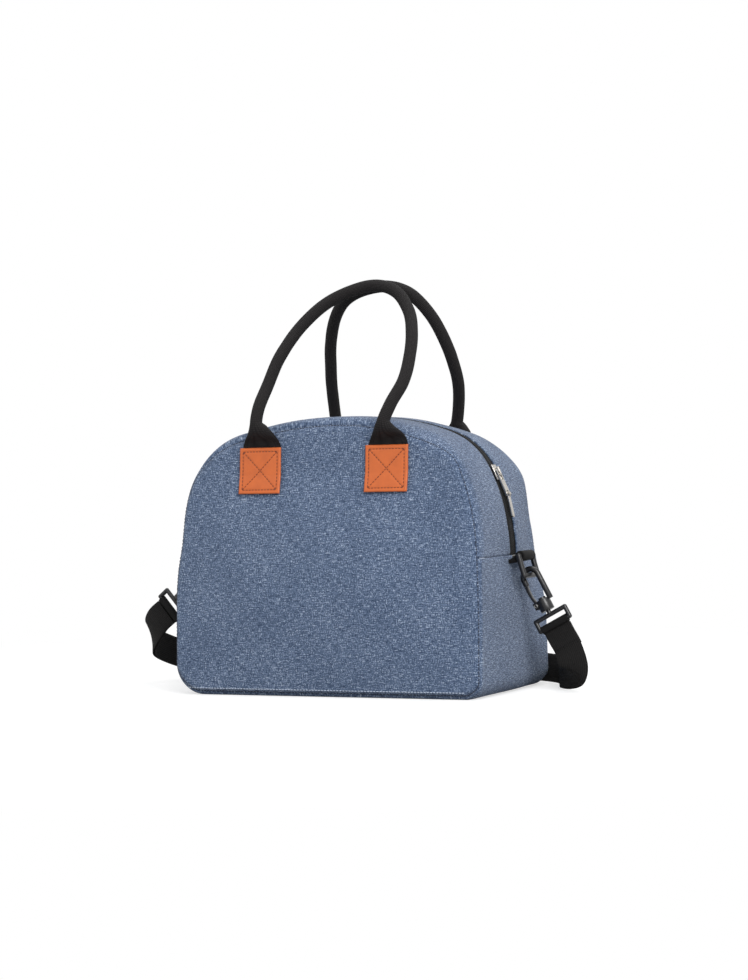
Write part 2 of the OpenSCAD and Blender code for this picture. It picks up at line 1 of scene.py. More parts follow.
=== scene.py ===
import json
import math
import bpy
import bmesh
import numpy as np
from mathutils import Matrix, Vector, noise
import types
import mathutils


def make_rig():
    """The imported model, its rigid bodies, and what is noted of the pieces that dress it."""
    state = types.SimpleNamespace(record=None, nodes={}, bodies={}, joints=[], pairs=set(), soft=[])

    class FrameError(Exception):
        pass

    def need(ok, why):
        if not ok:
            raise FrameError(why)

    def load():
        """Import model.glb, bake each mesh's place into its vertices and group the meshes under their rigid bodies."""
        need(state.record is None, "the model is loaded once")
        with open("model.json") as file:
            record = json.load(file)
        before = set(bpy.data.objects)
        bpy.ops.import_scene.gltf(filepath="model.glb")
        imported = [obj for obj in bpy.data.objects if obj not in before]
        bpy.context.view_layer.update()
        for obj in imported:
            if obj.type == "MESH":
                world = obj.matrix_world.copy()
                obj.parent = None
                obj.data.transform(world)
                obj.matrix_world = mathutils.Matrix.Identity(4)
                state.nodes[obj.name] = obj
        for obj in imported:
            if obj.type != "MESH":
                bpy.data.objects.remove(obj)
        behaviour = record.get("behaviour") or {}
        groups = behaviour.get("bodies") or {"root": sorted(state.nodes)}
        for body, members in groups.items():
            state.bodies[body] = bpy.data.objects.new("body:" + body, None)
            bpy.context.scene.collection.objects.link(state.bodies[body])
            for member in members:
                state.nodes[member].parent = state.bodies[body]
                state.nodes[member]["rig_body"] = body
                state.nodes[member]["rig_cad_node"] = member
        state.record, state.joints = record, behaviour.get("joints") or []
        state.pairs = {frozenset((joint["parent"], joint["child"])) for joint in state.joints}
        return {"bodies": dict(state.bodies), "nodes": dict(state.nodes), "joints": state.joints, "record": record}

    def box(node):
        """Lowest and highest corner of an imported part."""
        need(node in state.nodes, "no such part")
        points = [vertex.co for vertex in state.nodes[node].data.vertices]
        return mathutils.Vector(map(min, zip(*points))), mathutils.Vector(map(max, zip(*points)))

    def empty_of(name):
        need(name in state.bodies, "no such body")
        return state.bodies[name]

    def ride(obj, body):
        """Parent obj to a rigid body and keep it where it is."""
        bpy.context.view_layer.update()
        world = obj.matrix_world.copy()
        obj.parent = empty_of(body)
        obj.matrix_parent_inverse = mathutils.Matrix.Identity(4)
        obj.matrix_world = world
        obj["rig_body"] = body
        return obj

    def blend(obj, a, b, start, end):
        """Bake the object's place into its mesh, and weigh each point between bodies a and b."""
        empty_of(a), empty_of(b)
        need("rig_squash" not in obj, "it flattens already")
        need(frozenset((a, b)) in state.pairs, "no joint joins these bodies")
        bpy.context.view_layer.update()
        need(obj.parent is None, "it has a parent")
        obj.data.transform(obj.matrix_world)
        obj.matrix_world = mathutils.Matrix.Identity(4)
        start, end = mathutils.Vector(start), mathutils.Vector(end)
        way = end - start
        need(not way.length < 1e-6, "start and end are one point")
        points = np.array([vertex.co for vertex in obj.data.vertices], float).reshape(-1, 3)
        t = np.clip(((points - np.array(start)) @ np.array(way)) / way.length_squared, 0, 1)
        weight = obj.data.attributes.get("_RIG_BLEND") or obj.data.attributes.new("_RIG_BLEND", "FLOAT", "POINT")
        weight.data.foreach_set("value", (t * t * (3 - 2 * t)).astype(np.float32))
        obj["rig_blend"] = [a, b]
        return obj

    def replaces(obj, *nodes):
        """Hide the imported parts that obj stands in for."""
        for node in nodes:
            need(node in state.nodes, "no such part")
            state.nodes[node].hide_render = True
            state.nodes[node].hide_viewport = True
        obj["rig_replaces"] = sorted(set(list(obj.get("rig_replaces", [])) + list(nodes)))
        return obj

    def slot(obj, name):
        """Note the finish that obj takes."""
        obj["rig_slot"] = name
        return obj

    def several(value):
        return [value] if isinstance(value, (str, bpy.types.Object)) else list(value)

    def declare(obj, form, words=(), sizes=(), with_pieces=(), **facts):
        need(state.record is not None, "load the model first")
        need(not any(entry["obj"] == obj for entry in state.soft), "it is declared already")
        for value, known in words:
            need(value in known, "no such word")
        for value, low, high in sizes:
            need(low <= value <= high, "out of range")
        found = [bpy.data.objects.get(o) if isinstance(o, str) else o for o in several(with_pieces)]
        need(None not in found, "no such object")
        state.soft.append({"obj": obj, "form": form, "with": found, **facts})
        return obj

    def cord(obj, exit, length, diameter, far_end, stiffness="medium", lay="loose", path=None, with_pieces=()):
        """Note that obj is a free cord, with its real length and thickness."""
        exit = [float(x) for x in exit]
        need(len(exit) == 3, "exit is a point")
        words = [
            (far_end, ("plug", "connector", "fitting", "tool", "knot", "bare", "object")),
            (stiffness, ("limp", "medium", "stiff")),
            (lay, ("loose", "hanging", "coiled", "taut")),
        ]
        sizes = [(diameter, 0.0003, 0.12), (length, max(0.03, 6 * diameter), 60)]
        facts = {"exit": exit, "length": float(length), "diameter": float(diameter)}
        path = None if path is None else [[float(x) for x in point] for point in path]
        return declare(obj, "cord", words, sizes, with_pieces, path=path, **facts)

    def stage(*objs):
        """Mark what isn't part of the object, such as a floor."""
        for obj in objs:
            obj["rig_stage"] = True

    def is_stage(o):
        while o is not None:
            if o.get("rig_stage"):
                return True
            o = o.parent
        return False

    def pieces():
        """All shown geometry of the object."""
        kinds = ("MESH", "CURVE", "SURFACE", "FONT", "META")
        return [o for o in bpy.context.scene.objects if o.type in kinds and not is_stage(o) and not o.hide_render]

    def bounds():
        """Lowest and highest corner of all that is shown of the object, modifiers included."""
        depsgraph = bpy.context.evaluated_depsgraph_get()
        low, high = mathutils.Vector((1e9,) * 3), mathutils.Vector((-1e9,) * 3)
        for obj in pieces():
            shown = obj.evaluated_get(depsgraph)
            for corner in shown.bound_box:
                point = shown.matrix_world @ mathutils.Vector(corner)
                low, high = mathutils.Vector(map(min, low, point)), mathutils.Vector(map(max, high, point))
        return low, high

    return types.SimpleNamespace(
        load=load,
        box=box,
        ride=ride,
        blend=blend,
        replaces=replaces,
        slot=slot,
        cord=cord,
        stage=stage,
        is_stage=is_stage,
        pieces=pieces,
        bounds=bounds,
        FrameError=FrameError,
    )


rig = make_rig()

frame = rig.load()
cad_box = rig.bounds()


# ---- Studio ----
# A plain white table in soft daylight, with the strongest lamp in front of the bag on its right.
# The camera stands a little to the right of the bag and just below its top.
camera_place = (0.8953, -1.9198, 0.1931)
camera_turn, camera_dip, camera_roll = 24.67, 0.59, 1.24
camera_data = bpy.data.cameras.new("camera")
camera_data.sensor_width = 36
camera_data.lens = 90.26
camera = bpy.data.objects.new("camera", camera_data)
camera.matrix_world = (Matrix.Translation(camera_place)
                       @ Matrix.Rotation(math.radians(camera_turn), 4, "Z")
                       @ Matrix.Rotation(math.radians(90 - camera_dip), 4, "X")
                       @ Matrix.Rotation(math.radians(-camera_roll), 4, "Z"))
bpy.context.scene.collection.objects.link(camera)
bpy.context.scene.camera = camera
bpy.context.scene.view_settings.view_transform = "Standard"


def add_lamp(name, place, aim, size, power):
    """A square soft box that looks from place to aim."""
    lamp_data = bpy.data.lights.new(name, "AREA")
    lamp_data.size = size
    lamp_data.energy = power
    lamp = bpy.data.objects.new(name, lamp_data)
    lamp.location = place
    lamp.rotation_mode = "QUATERNION"
    lamp.rotation_quaternion = (Vector(aim) - Vector(place)).to_track_quat("-Z", "Y")
    bpy.context.scene.collection.objects.link(lamp)


bag_middle = (0, 0, 0.12)
add_lamp("key", (1.4, -1.6, 1.35), bag_middle, 1.2, 43.5)
add_lamp("fill", (-1.6, -1.8, 0.9), bag_middle, 1.6, 5)
add_lamp("top", (0.2, 0.5, 2.2), bag_middle, 1.6, 16)


def add_node(tree, kind, inputs=None, **settings):
    """Adds a shader node with its settings, and fills its inputs with values or links."""
    made = tree.nodes.new(kind)
    for name, value in settings.items():
        setattr(made, name, value)
    for name, value in (inputs or {}).items():
        if isinstance(value, bpy.types.NodeSocket):
            tree.links.new(value, made.inputs[name])
        else:
            made.inputs[name].default_value = value
    return made


def add_math(tree, operation, *values):
    """Adds a Math node with these values or links, and gives its result."""
    return add_node(tree, "ShaderNodeMath", dict(enumerate(values)), operation=operation).outputs[0]


white = (1, 1, 1, 1)
world_light = 0.62
world = bpy.data.worlds.new("daylight")
bpy.context.scene.world = world
world.use_nodes = True
air = world.node_tree
air.nodes.clear()
seen = add_node(air, "ShaderNodeLightPath")
seen_or_mirrored = add_math(air, "MAXIMUM", seen.outputs["Is Camera Ray"], seen.outputs["Is Glossy Ray"])
strength = add_node(air, "ShaderNodeMapRange", {"Value": seen_or_mirrored, "To Min": world_light,
                    "To Max": 1.0})
sky = add_node(air, "ShaderNodeBackground", {"Color": white, "Strength": strength.outputs[0]})
add_node(air, "ShaderNodeOutputWorld", {"Surface": sky.outputs[0]})

floor_bm = bmesh.new()
bmesh.ops.create_circle(floor_bm, cap_ends=True, segments=96, radius=6)
floor_mesh = bpy.data.meshes.new("floor")
floor_bm.to_mesh(floor_mesh)
floor_bm.free()
floor = bpy.data.objects.new("floor", floor_mesh)
bpy.context.scene.collection.objects.link(floor)
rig.stage(floor)

# Near the bag the table takes its shadow, and further out it is pure white.
table_tone, table_glow = 0.48, 0.62
shadow_to, white_from = 0.35, 0.75
table = bpy.data.materials.new("white_table")
table.use_nodes = True
paint = table.node_tree
paint.nodes.clear()
spot = add_node(paint, "ShaderNodeTexCoord")
reach = add_node(paint, "ShaderNodeVectorMath", {0: spot.outputs["Object"]}, operation="LENGTH")
fade = add_node(paint, "ShaderNodeMapRange", {"Value": reach.outputs["Value"], "From Min": shadow_to,
                "From Max": white_from}, interpolation_type="SMOOTHSTEP")
eye = add_node(paint, "ShaderNodeLightPath")
far_and_seen = add_math(paint, "MULTIPLY", fade.outputs[0], eye.outputs["Is Camera Ray"])
lift = add_math(paint, "MULTIPLY", eye.outputs["Is Camera Ray"], table_glow)
matt_white = add_node(paint, "ShaderNodeBsdfDiffuse", {"Color": (table_tone, table_tone, table_tone, 1)})
pure_white = add_node(paint, "ShaderNodeEmission", {"Color": white, "Strength": 1.0})
glow = add_node(paint, "ShaderNodeEmission", {"Color": white, "Strength": lift})
lit = add_node(paint, "ShaderNodeAddShader", {0: matt_white.outputs[0], 1: glow.outputs[0]})
blended = add_node(paint, "ShaderNodeMixShader", {0: far_and_seen, 1: lit.outputs[0],
                   2: pure_white.outputs[0]})
add_node(paint, "ShaderNodeOutputMaterial", {"Surface": blended.outputs[0]})
floor.data.materials.append(table)


# ---- Strap ----
# A woven nylon strap, 25 mm wide. It leaves the loop of the right hook, lies on its edge behind the bag and
# comes up to the left hook's loop, where it turns and runs back, doubled, to the adjuster.
mm = 0.001    # in metres
strap_w, strap_t = 25 * mm, 1.6 * mm
half_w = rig.box("base_gusset")[1].x
half_d = -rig.box("front_panel_lower")[0].y
joints = {j["name"]: j for j in frame["joints"]}


def below_hook(side, distance):
    """A point on the hook's own line, that far below the middle of its round end."""
    swivel = joints[side + "_hook_swivel"]
    return Vector(swivel["pos_m"]) - distance * Vector(swivel["axis"])


# x in half widths of the bag, y in half depths and z in mm, from the right side round the back to the left
floor_route = [
    (1.333, 0, 37), (1.355, 0.024, 24), (1.333, 0.11, 15), (1.262, 0.256, 13), (1.184, 0.451, 13),
    (1.128, 0.707, 13), (1.057, 0.951, 13), (0.915, 1.159, 13), (0.709, 1.268, 13.4), (0.426, 1.305, 15.2),
    (0.213, 1.305, 16.2), (0, 1.305, 15.2), (-0.213, 1.305, 13.4), (-0.426, 1.293, 13), (-0.709, 1.256, 13),
    (-0.95, 1.159, 13), (-1.135, 1.012, 14), (-1.291, 0.829, 17), (-1.411, 0.634, 22), (-1.489, 0.427, 29),
    (-1.518, 0.22, 37), (-1.489, 0.073, 47)]
strap_start = 47.55 * mm
strap_points = [below_hook("right", strap_start), below_hook("right", strap_start + 8 * mm),
                *[Vector((x * half_w, y * half_d, z * mm)) for x, y, z in floor_route],
                below_hook("left", strap_start + 12 * mm), below_hook("left", strap_start)]
# the way the width of the webbing points, at each of the strap's points
strap_across = [Vector(a) for a in (
    (0.88, 0, 0.47), (0.88, 0, 0.47), (0.88, 0, 0.46), (0.93, 0.1, 0.2), (0.75, 0.1, -0.6),
    (0.25, 0.1, -0.95), *[(0, 0, -1)] * 16, (0.1, 0, -0.99), (0.3, 0.05, -0.95), (0.5, 0.03, -0.86),
    (0.64, 0, -0.77))]


def on_line(points, u):
    """A point on a smooth curve through the points, with u counted in points."""
    i = min(int(u), len(points) - 2)
    f = u - i
    a, b, c = points[max(i - 1, 0)], points[i], points[i + 1]
    d = points[min(i + 2, len(points) - 1)]
    return 0.5 * (2 * b + (c - a) * f + (2 * a - 5 * b + 4 * c - d) * f * f
                  + (3 * b - a - 3 * c + d) * f ** 3)


def heading(points, u):
    """The curve's direction at u."""
    step, last = 0.05, len(points) - 1
    return (on_line(points, min(u + step, last)) - on_line(points, max(u - step, 0))).normalized()


def woven_surface(nu, nv, place, pattern_at):
    """A bmesh grid of nu by nv cells, its points moved to place(u, v), with its pattern's place as its UV."""
    bm = bmesh.new()
    bmesh.ops.create_grid(bm, x_segments=nu, y_segments=nv, size=1)
    uv = bm.loops.layers.uv.new("UVMap")
    where = {v: ((v.co.x + 1) / 2, (v.co.y + 1) / 2) for v in bm.verts}
    for face in bm.faces:
        for loop in face.loops:
            loop[uv].uv = pattern_at(*where[loop.vert])
    for v, (s, t) in where.items():
        v.co = place(s, t)
    bmesh.ops.remove_doubles(bm, verts=bm.verts, dist=1e-6)
    return bm


def with_closed_ends(bm):
    """Fills the open ends of a tube, and turns its faces outwards."""
    bmesh.ops.holes_fill(bm, edges=[e for e in bm.edges if e.is_boundary])
    bmesh.ops.recalc_face_normals(bm, faces=bm.faces)
    return bm


def add_piece(name, bm, material, slot, body=None, stands_for=()):
    """Makes a piece of the object out of a bmesh, and hangs it on its body."""
    mesh = bpy.data.meshes.new(name)
    bm.to_mesh(mesh)
    bm.free()
    for face in mesh.polygons:
        face.use_smooth = True
    made = bpy.data.objects.new(name, mesh)
    bpy.context.scene.collection.objects.link(made)
    mesh.materials.append(material)
    if body:
        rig.ride(made, body)
    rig.slot(made, slot)
    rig.replaces(made, *stands_for)
    return made


def new_material(name):
    """A material with one Principled BSDF, and its tree."""
    made = bpy.data.materials.new(name)
    made.use_nodes = True
    tree = made.node_tree
    tree.nodes.clear()
    surface = add_node(tree, "ShaderNodeBsdfPrincipled")
    add_node(tree, "ShaderNodeOutputMaterial", {"Surface": surface.outputs[0]})
    return made, tree, surface


def add_noise(tree, vector, scale, detail, roughness=0.5):
    """Soft random unevenness, with about that many bumps to a metre of the pattern."""
    return add_node(tree, "ShaderNodeTexNoise", {"Vector": vector, "Scale": scale, "Detail": detail,
                    "Roughness": roughness}).outputs["Fac"]


def add_tone(tree, surface, pattern, darker, lighter):
    """Colours a material between two tones with a pattern."""
    tone = add_node(tree, "ShaderNodeMix", {0: pattern, 6: darker, 7: lighter}, data_type="RGBA")
    tree.links.new(tone.outputs[2], surface.inputs["Base Color"])


def add_relief(tree, surface, height, strength, depth):
    """Raises and sinks a material's surface with a pattern, to about that depth."""
    bump = add_node(tree, "ShaderNodeBump", {"Height": height, "Strength": strength, "Distance": depth})
    tree.links.new(bump.outputs[0], surface.inputs["Normal"])


def srgb(red, green, blue):
    """A colour as it looks on screen, from 0 to 255, as the shader's linear colour."""
    linear = [c / 255 / 12.92 if c <= 10 else ((c / 255 + 0.055) / 1.055) ** 2.4 for c in (red, green, blue)]
    return (*linear, 1)


def new_group(name, inputs, outputs):
    """A shader node group with named float, vector or colour sockets."""
    group = bpy.data.node_groups.new(name, "ShaderNodeTree")
    for direction, sockets in (("INPUT", inputs), ("OUTPUT", outputs)):
        for title, kind in sockets:
            group.interface.new_socket(title, in_out=direction, socket_type="NodeSocket" + kind)
    return group, group.nodes.new("NodeGroupInput"), group.nodes.new("NodeGroupOutput")


# Over-and-under threads in two directions: a height that goes up where a thread lies on top.
weave, weave_in, weave_out = new_group("weave", [("Vector", "Vector"), ("Threads per metre", "Float"),
                                       ("Cross threads per metre", "Float")], [("Height", "Float")])
axes = add_node(weave, "ShaderNodeSeparateXYZ", {0: weave_in.outputs["Vector"]})
waves = []
for axis, count in (("X", "Threads per metre"), ("Y", "Cross threads per metre")):
    threads = add_math(weave, "MULTIPLY", axes.outputs[axis], weave_in.outputs[count])
    waves.append(add_math(weave, "SINE", add_math(weave, "MULTIPLY", threads, math.pi)))
crossed = add_math(weave, "MULTIPLY", *waves)
weave.links.new(add_math(weave, "ABSOLUTE", crossed), weave_out.inputs["Height"])


def place_group(tree, group, inputs):
    """Puts a node group in a material's tree."""
    return add_node(tree, "ShaderNodeGroup", inputs, node_tree=group)


def webbing_material(name, darker, lighter, across, along):
    """Woven nylon: small raised threads, with painted highlight on their tops and painted shade between them."""
    made, tree, surface = new_material(name)
    uv = add_node(tree, "ShaderNodeUVMap", uv_map="UVMap")
    threads = place_group(tree, weave, {"Vector": uv.outputs[0], "Threads per metre": along,
                          "Cross threads per metre": across})
    mottle = add_noise(tree, uv.outputs[0], 900, 2)
    # the colour is darker between the threads and lighter on their tops, as painted shade and painted highlight, with
    # a random mottle
    add_tone(tree, surface, add_math(tree, "MULTIPLY", threads.outputs["Height"], mottle), darker, lighter)
    add_relief(tree, surface, threads.outputs["Height"], 0.9, 0.4 * mm)
    surface.inputs["Roughness"].default_value = 0.75
    surface.inputs["Specular IOR Level"].default_value = 0.22
    return made


strap_black = webbing_material("strap_nylon", srgb(15, 14, 14), srgb(52, 50, 49), 620, 780)


def squared(wave, power):
    """A sine or cosine pushed towards 1 or -1, which squares off the round that it draws."""
    return math.copysign(abs(wave) ** power, wave) if abs(wave) > 1e-9 else 0.0


def ribbon(u0, u1, out, thick=strap_t):
    """A flat webbing along the strap's line, moved out to one side, with its middle line and its length."""
    steps_per_point, around = 14, 20
    steps = int((u1 - u0) * steps_per_point)
    flat_face, round_edge = 0.22, 0.55

    def station(s):
        u = u0 + (u1 - u0) * s
        ahead = heading(strap_points, u)
        side = ahead.cross(on_line(strap_across, u).normalized()).normalized()
        return on_line(strap_points, u) - out * side, side.cross(ahead), side

    middle = [station(i / steps)[0] for i in range(steps + 1)]
    length = sum((b - a).length for a, b in zip(middle, middle[1:]))

    def place(s, t):
        point, across, side = station(s)
        wide = squared(math.cos(2 * math.pi * t), flat_face)
        deep = squared(math.sin(2 * math.pi * t), round_edge)
        return point + across * (strap_w / 2 * wide) + side * (thick / 2 * deep)

    def pattern(s, t):
        return s * length, strap_w / 2 * squared(math.cos(2 * math.pi * t), flat_face)

    return with_closed_ends(woven_surface(steps, around, place, pattern)), middle, length


strap_end_u = len(strap_points) - 1
adjuster_u = 12
strap_bm, strap_middle, strap_length = ribbon(0, strap_end_u, 0)
strap = add_piece("strap", strap_bm, strap_black, "webbing", "strap", ["strap_webbing"])
return_bm, return_middle, return_length = ribbon(adjuster_u + 0.12, strap_end_u, strap_t + 0.6 * mm)
strap_back_run = add_piece("strap_back_run", return_bm, strap_black, "webbing", "strap", ["strap_return"])


def add_thread(bm, middle, directions, half_sizes):
    """One short raised thread, a long bead of that size."""
    turn = Matrix(directions).transposed().to_4x4()
    bmesh.ops.create_uvsphere(bm, u_segments=6, v_segments=4, radius=1,
                              matrix=Matrix.Translation(middle) @ turn @ Matrix.Diagonal((*half_sizes, 1)))


# The strap's end is sewn back on itself below the right hook, with two rows of thread across it.
tail_bm = ribbon(0.05, 1.95, 1.75 * mm, thick=1.5 * mm)[0]
add_piece("strap_tail", tail_bm, strap_black, "webbing", "strap")
row_places = (1.72, 1.86)
row_pitch, row_thread = 2.15 * mm, (0.85 * mm, 0.35 * mm, 0.4 * mm)
rows_bm = bmesh.new()
for u in row_places:
    ahead = heading(strap_points, u)
    outward = -ahead.cross(on_line(strap_across, u).normalized()).normalized()
    across = ahead.cross(outward)
    middle = on_line(strap_points, u) - outward * (strap_t / 2 - 0.1 * mm)
    for k in range(-5, 6):
        add_thread(rows_bm, middle + across * (row_pitch * k), (across, outward, across.cross(outward)),
                   row_thread)
bmesh.ops.recalc_face_normals(rows_bm, faces=rows_bm.faces)
black_thread = webbing_material("black_thread", srgb(9, 9, 9), srgb(24, 24, 24), 2500, 2500)
add_piece("strap_end_thread", rows_bm, black_thread, "webbing", "strap")


# ---- Snap hooks ----
# Each hook is moulded nylon: a claw with a sprung lever for its gate, and a barrel in which a post turns. The
# post carries the loop that holds the strap. All of it is black, apart from the gate's steel spring.
def softened(node, width):
    """A copy of a CAD node's mesh, merged and with its sharp edges rounded."""
    bm = bmesh.new()
    bm.from_mesh(frame["nodes"][node].data)
    bmesh.ops.remove_doubles(bm, verts=bm.verts, dist=1e-6)
    bmesh.ops.dissolve_limit(bm, angle_limit=math.radians(3), verts=bm.verts, edges=bm.edges)
    sharp = [e for e in bm.edges if len(e.link_faces) == 2 and e.calc_face_angle(0) > math.radians(35)]
    bmesh.ops.bevel(bm, geom=sharp, offset=width, segments=2, affect="EDGES", profile=0.5, material=-1,
                    clamp_overlap=True)
    return bm


def add_gloss(tree, surface, pattern, least, most):
    """Varies a material's roughness with a pattern."""
    gloss = add_node(tree, "ShaderNodeMapRange", {"Value": pattern, "To Min": least, "To Max": most})
    tree.links.new(gloss.outputs[0], surface.inputs["Roughness"])


def grainy_material(name, colour, roughness, metallic=0.0, scale=900, bump=0.1, shine=0.5):
    """A plain moulded or plated finish with fine unevenness in its colour and gloss."""
    made, tree, surface = new_material(name)
    spot = add_node(tree, "ShaderNodeTexCoord")
    grain = add_noise(tree, spot.outputs["Object"], scale, 3)
    add_gloss(tree, surface, grain, roughness - 0.04, roughness + 0.04)
    darker, lighter = ([min(c * change, 1) for c in colour[:3]] + [1] for change in (0.88, 1.12))
    add_tone(tree, surface, grain, darker, lighter)
    add_relief(tree, surface, grain, bump, 0.2 * mm)
    surface.inputs["Metallic"].default_value = metallic
    surface.inputs["Specular IOR Level"].default_value = shine
    return made


def finish_in(material, *nodes):
    """Gives CAD nodes that stay as they are their material."""
    for node in nodes:
        finish = frame["nodes"][node].data.materials
        finish.clear()
        finish.append(material)


black_nylon = grainy_material("moulded_black", srgb(24, 24, 26), 0.3)
plated = grainy_material("nickel_plate", srgb(186, 182, 176), 0.24, metallic=1.0, scale=500, bump=0.02)
spring_wire = grainy_material("spring_wire", srgb(150, 150, 150), 0.3, metallic=1.0)
for side in ("right", "left"):
    for part, width in (("hook", 0.35 * mm), ("gate", 0.3 * mm)):
        add_piece(f"{side}_{part}_moulding", softened(f"{side}_{part}", width), black_nylon, "black_plastic",
                  f"{side}_{part}", [f"{side}_{part}"])
    finish_in(spring_wire, side + "_gate_spring")
    finish_in(black_nylon, side + "_swivel_loop")
finish_in(black_nylon, "strap_adjuster")
finish_in(strap_black, "strap_sewn_end", "strap_turn_right", "strap_turn_left")

right_end = ["right_hook_moulding", "right_gate_moulding", "right_gate_spring", "right_swivel_loop",
             "strap_turn_right", "strap_tail", "strap_end_thread"]
left_end = ["left_hook_moulding", "left_gate_moulding", "left_gate_spring", "left_swivel_loop",
            "strap_turn_left"]
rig.cord(strap, exit=strap_middle[0], length=strap_length, diameter=strap_w, far_end="object",
        stiffness="medium", lay="loose", path=strap_middle, with_pieces=right_end + left_end)
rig.cord(strap_back_run, exit=return_middle[0], length=return_length, diameter=strap_w, far_end="object",
        stiffness="medium", lay="loose", path=return_middle, with_pieces=["strap_adjuster", "strap_sewn_end"])


# ---- The bag's outline ----
# Seen from the front the bag is an arch: a flat base with round corners, sides that curve in above the fold,
# two shoulders and a shallow top. It slumps a little to the right, so its two sides differ.
bag_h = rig.box("front_zip_strip")[1].z
fold_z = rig.box("base_gusset")[1].z
apex_x = 9.5 * mm
base_r = {1: 14 * mm, -1: 26 * mm}
# for the right (1) and the left (-1): radius of the side and of the shoulder, and the angle where they meet
side_curves = {1: (170 * mm, 64 * mm, 25), -1: (225 * mm, 80 * mm, 27)}
shoulder_end = 70
arc_steps = 40


def half_outline(side):
    """One side's points with their outward normals, from the middle of the base up to the apex."""
    large, small, turn = side_curves[side]
    corner = base_r[side]
    a, e = math.radians(turn), math.radians(shoulder_end)
    reach = half_w - side * apex_x
    top = (reach - large * (1 - math.cos(a)) - small * (math.cos(a) - math.cos(e))) / math.cos(e)
    start = bag_h - large * math.sin(a) - small * (math.sin(e) - math.sin(a)) - top * (1 - math.sin(e))
    side_c = np.array((half_w - large, start))
    shoulder_c = side_c + (large - small) * np.array((math.cos(a), math.sin(a)))
    top_c = shoulder_c + (small - top) * np.array((math.cos(e), math.sin(e)))
    found = [(0, 0, 0, -1)]
    for centre, radius, a0, a1 in (((half_w - corner, corner), corner, -90, 0), (side_c, large, 0, turn),
                                   (shoulder_c, small, turn, shoulder_end), (top_c, top, shoulder_end, 90)):
        for k in range(arc_steps + 1):
            angle = math.radians(a0 + (a1 - a0) * k / arc_steps)
            nx, nz = math.cos(angle), math.sin(angle)
            found.append((centre[0] + radius * nx, centre[1] + radius * nz, nx, nz))
    return [(side * x, z, side * nx, nz) for x, z, nx, nz in found]


rim_points = np.array(half_outline(1) + half_outline(-1)[::-1])
rim_run = np.concatenate([[0], np.cumsum(np.hypot(*np.diff(rim_points[:, :2], axis=0).T))])
rim_length = rim_run[-1]
right_fold = rim_run[np.argmax(rim_points[:, 1] >= fold_z)]
left_fold = rim_run[len(rim_run) - 1 - np.argmax(rim_points[::-1, 1] >= fold_z)]
rim_steps = 6000
rim_table = np.stack([np.interp(np.linspace(0, rim_length, rim_steps + 1), rim_run, rim_points[:, k])
                      for k in range(4)], axis=1).tolist()


def on_rim(s, inset=0.0):
    """A point of the outline at the distance s round it, moved in by inset, and the outward normal there."""
    place = (s % rim_length) / rim_length * rim_steps
    k = min(int(place), rim_steps - 1)
    f = place - k
    x, z, nx, nz = (a + (b - a) * f for a, b in zip(rim_table[k], rim_table[k + 1]))
    return x - inset * nx, z - inset * nz, nx, nz


def ease(x):
    """0 up to 0, 1 from 1 on, and smooth in between."""
    x = min(max(x, 0.0), 1.0)
    return x * x * (3 - 2 * x)


def fall(distance, width):
    """1 at an edge, falling in a quarter circle to 0 at that width from it."""
    x = 1 - min(max(distance / width, 0.0), 1.0)
    return 1 - math.sqrt(1 - x * x)


def ridge(distance, place, width):
    """A rounded ridge of height 1 and about that width, at that place."""
    return math.exp(-((distance - place) / width) ** 2)


def ripple(x, y, z, size, seed):
    """Smooth unevenness from -1 to 1, with bumps about that size."""
    return noise.noise(Vector((x, y, z)) / size + Vector((seed, 2.3 * seed, 0.7)))


def seam_y(z):
    """How far the seams between the gusset and the panels lie from the middle, at height z."""
    lean = 10 * mm * z / bag_h
    top_lean = 5 * mm * ease((z - 100 * mm) / (110 * mm))
    return half_d - 3 * mm - lean - top_lean


# Slubby yarn in two blues: long thin streaks that cross, with pale flecks and a fine weave.
along_streaks, cross_streaks = (170, 1500, 1), (1500, 240, 1)
cross_share, speck_share, cloud_share, slub_height = 0.45, 0.45, 0.08, 0.8
yarns_per_metre = 1700
heather, heather_in, heather_out = new_group(
    "heather", [("Vector", "Vector"), ("Shade", "Float")], [("Color", "Color"), ("Height", "Float")])
layers = []
for stretch in (along_streaks, cross_streaks):
    laid = add_node(heather, "ShaderNodeVectorMath", {0: heather_in.outputs["Vector"], 1: stretch},
                    operation="MULTIPLY")
    layers.append(add_noise(heather, laid.outputs[0], 1, 3, roughness=0.6))
yarn_weave = place_group(heather, weave, {"Vector": heather_in.outputs["Vector"],
                         "Threads per metre": yarns_per_metre, "Cross threads per metre": yarns_per_metre})
both = add_node(heather, "ShaderNodeMix", {0: cross_share, 2: layers[0], 3: layers[1]},
                data_type="FLOAT").outputs[0]
cloud = add_noise(heather, heather_in.outputs["Vector"], 22, 2)
speck = add_noise(heather, heather_in.outputs["Vector"], 950, 1)
dotted = add_math(heather, "ADD", both, add_math(heather, "MULTIPLY", speck, speck_share))
summed = add_math(heather, "ADD", dotted, add_math(heather, "MULTIPLY", cloud, cloud_share))
shaded = add_math(heather, "ADD", summed, heather_in.outputs["Shade"])
yarns = add_node(heather, "ShaderNodeValToRGB", {"Fac": shaded})
blues = yarns.color_ramp.elements
blues[0].position, blues[0].color = 0.635, srgb(46, 61, 86)
blues[1].position, blues[1].color = 0.942, srgb(190, 203, 222)
blues.new(0.757).color = srgb(80, 98, 127)
blues.new(0.835).color = srgb(114, 132, 160)
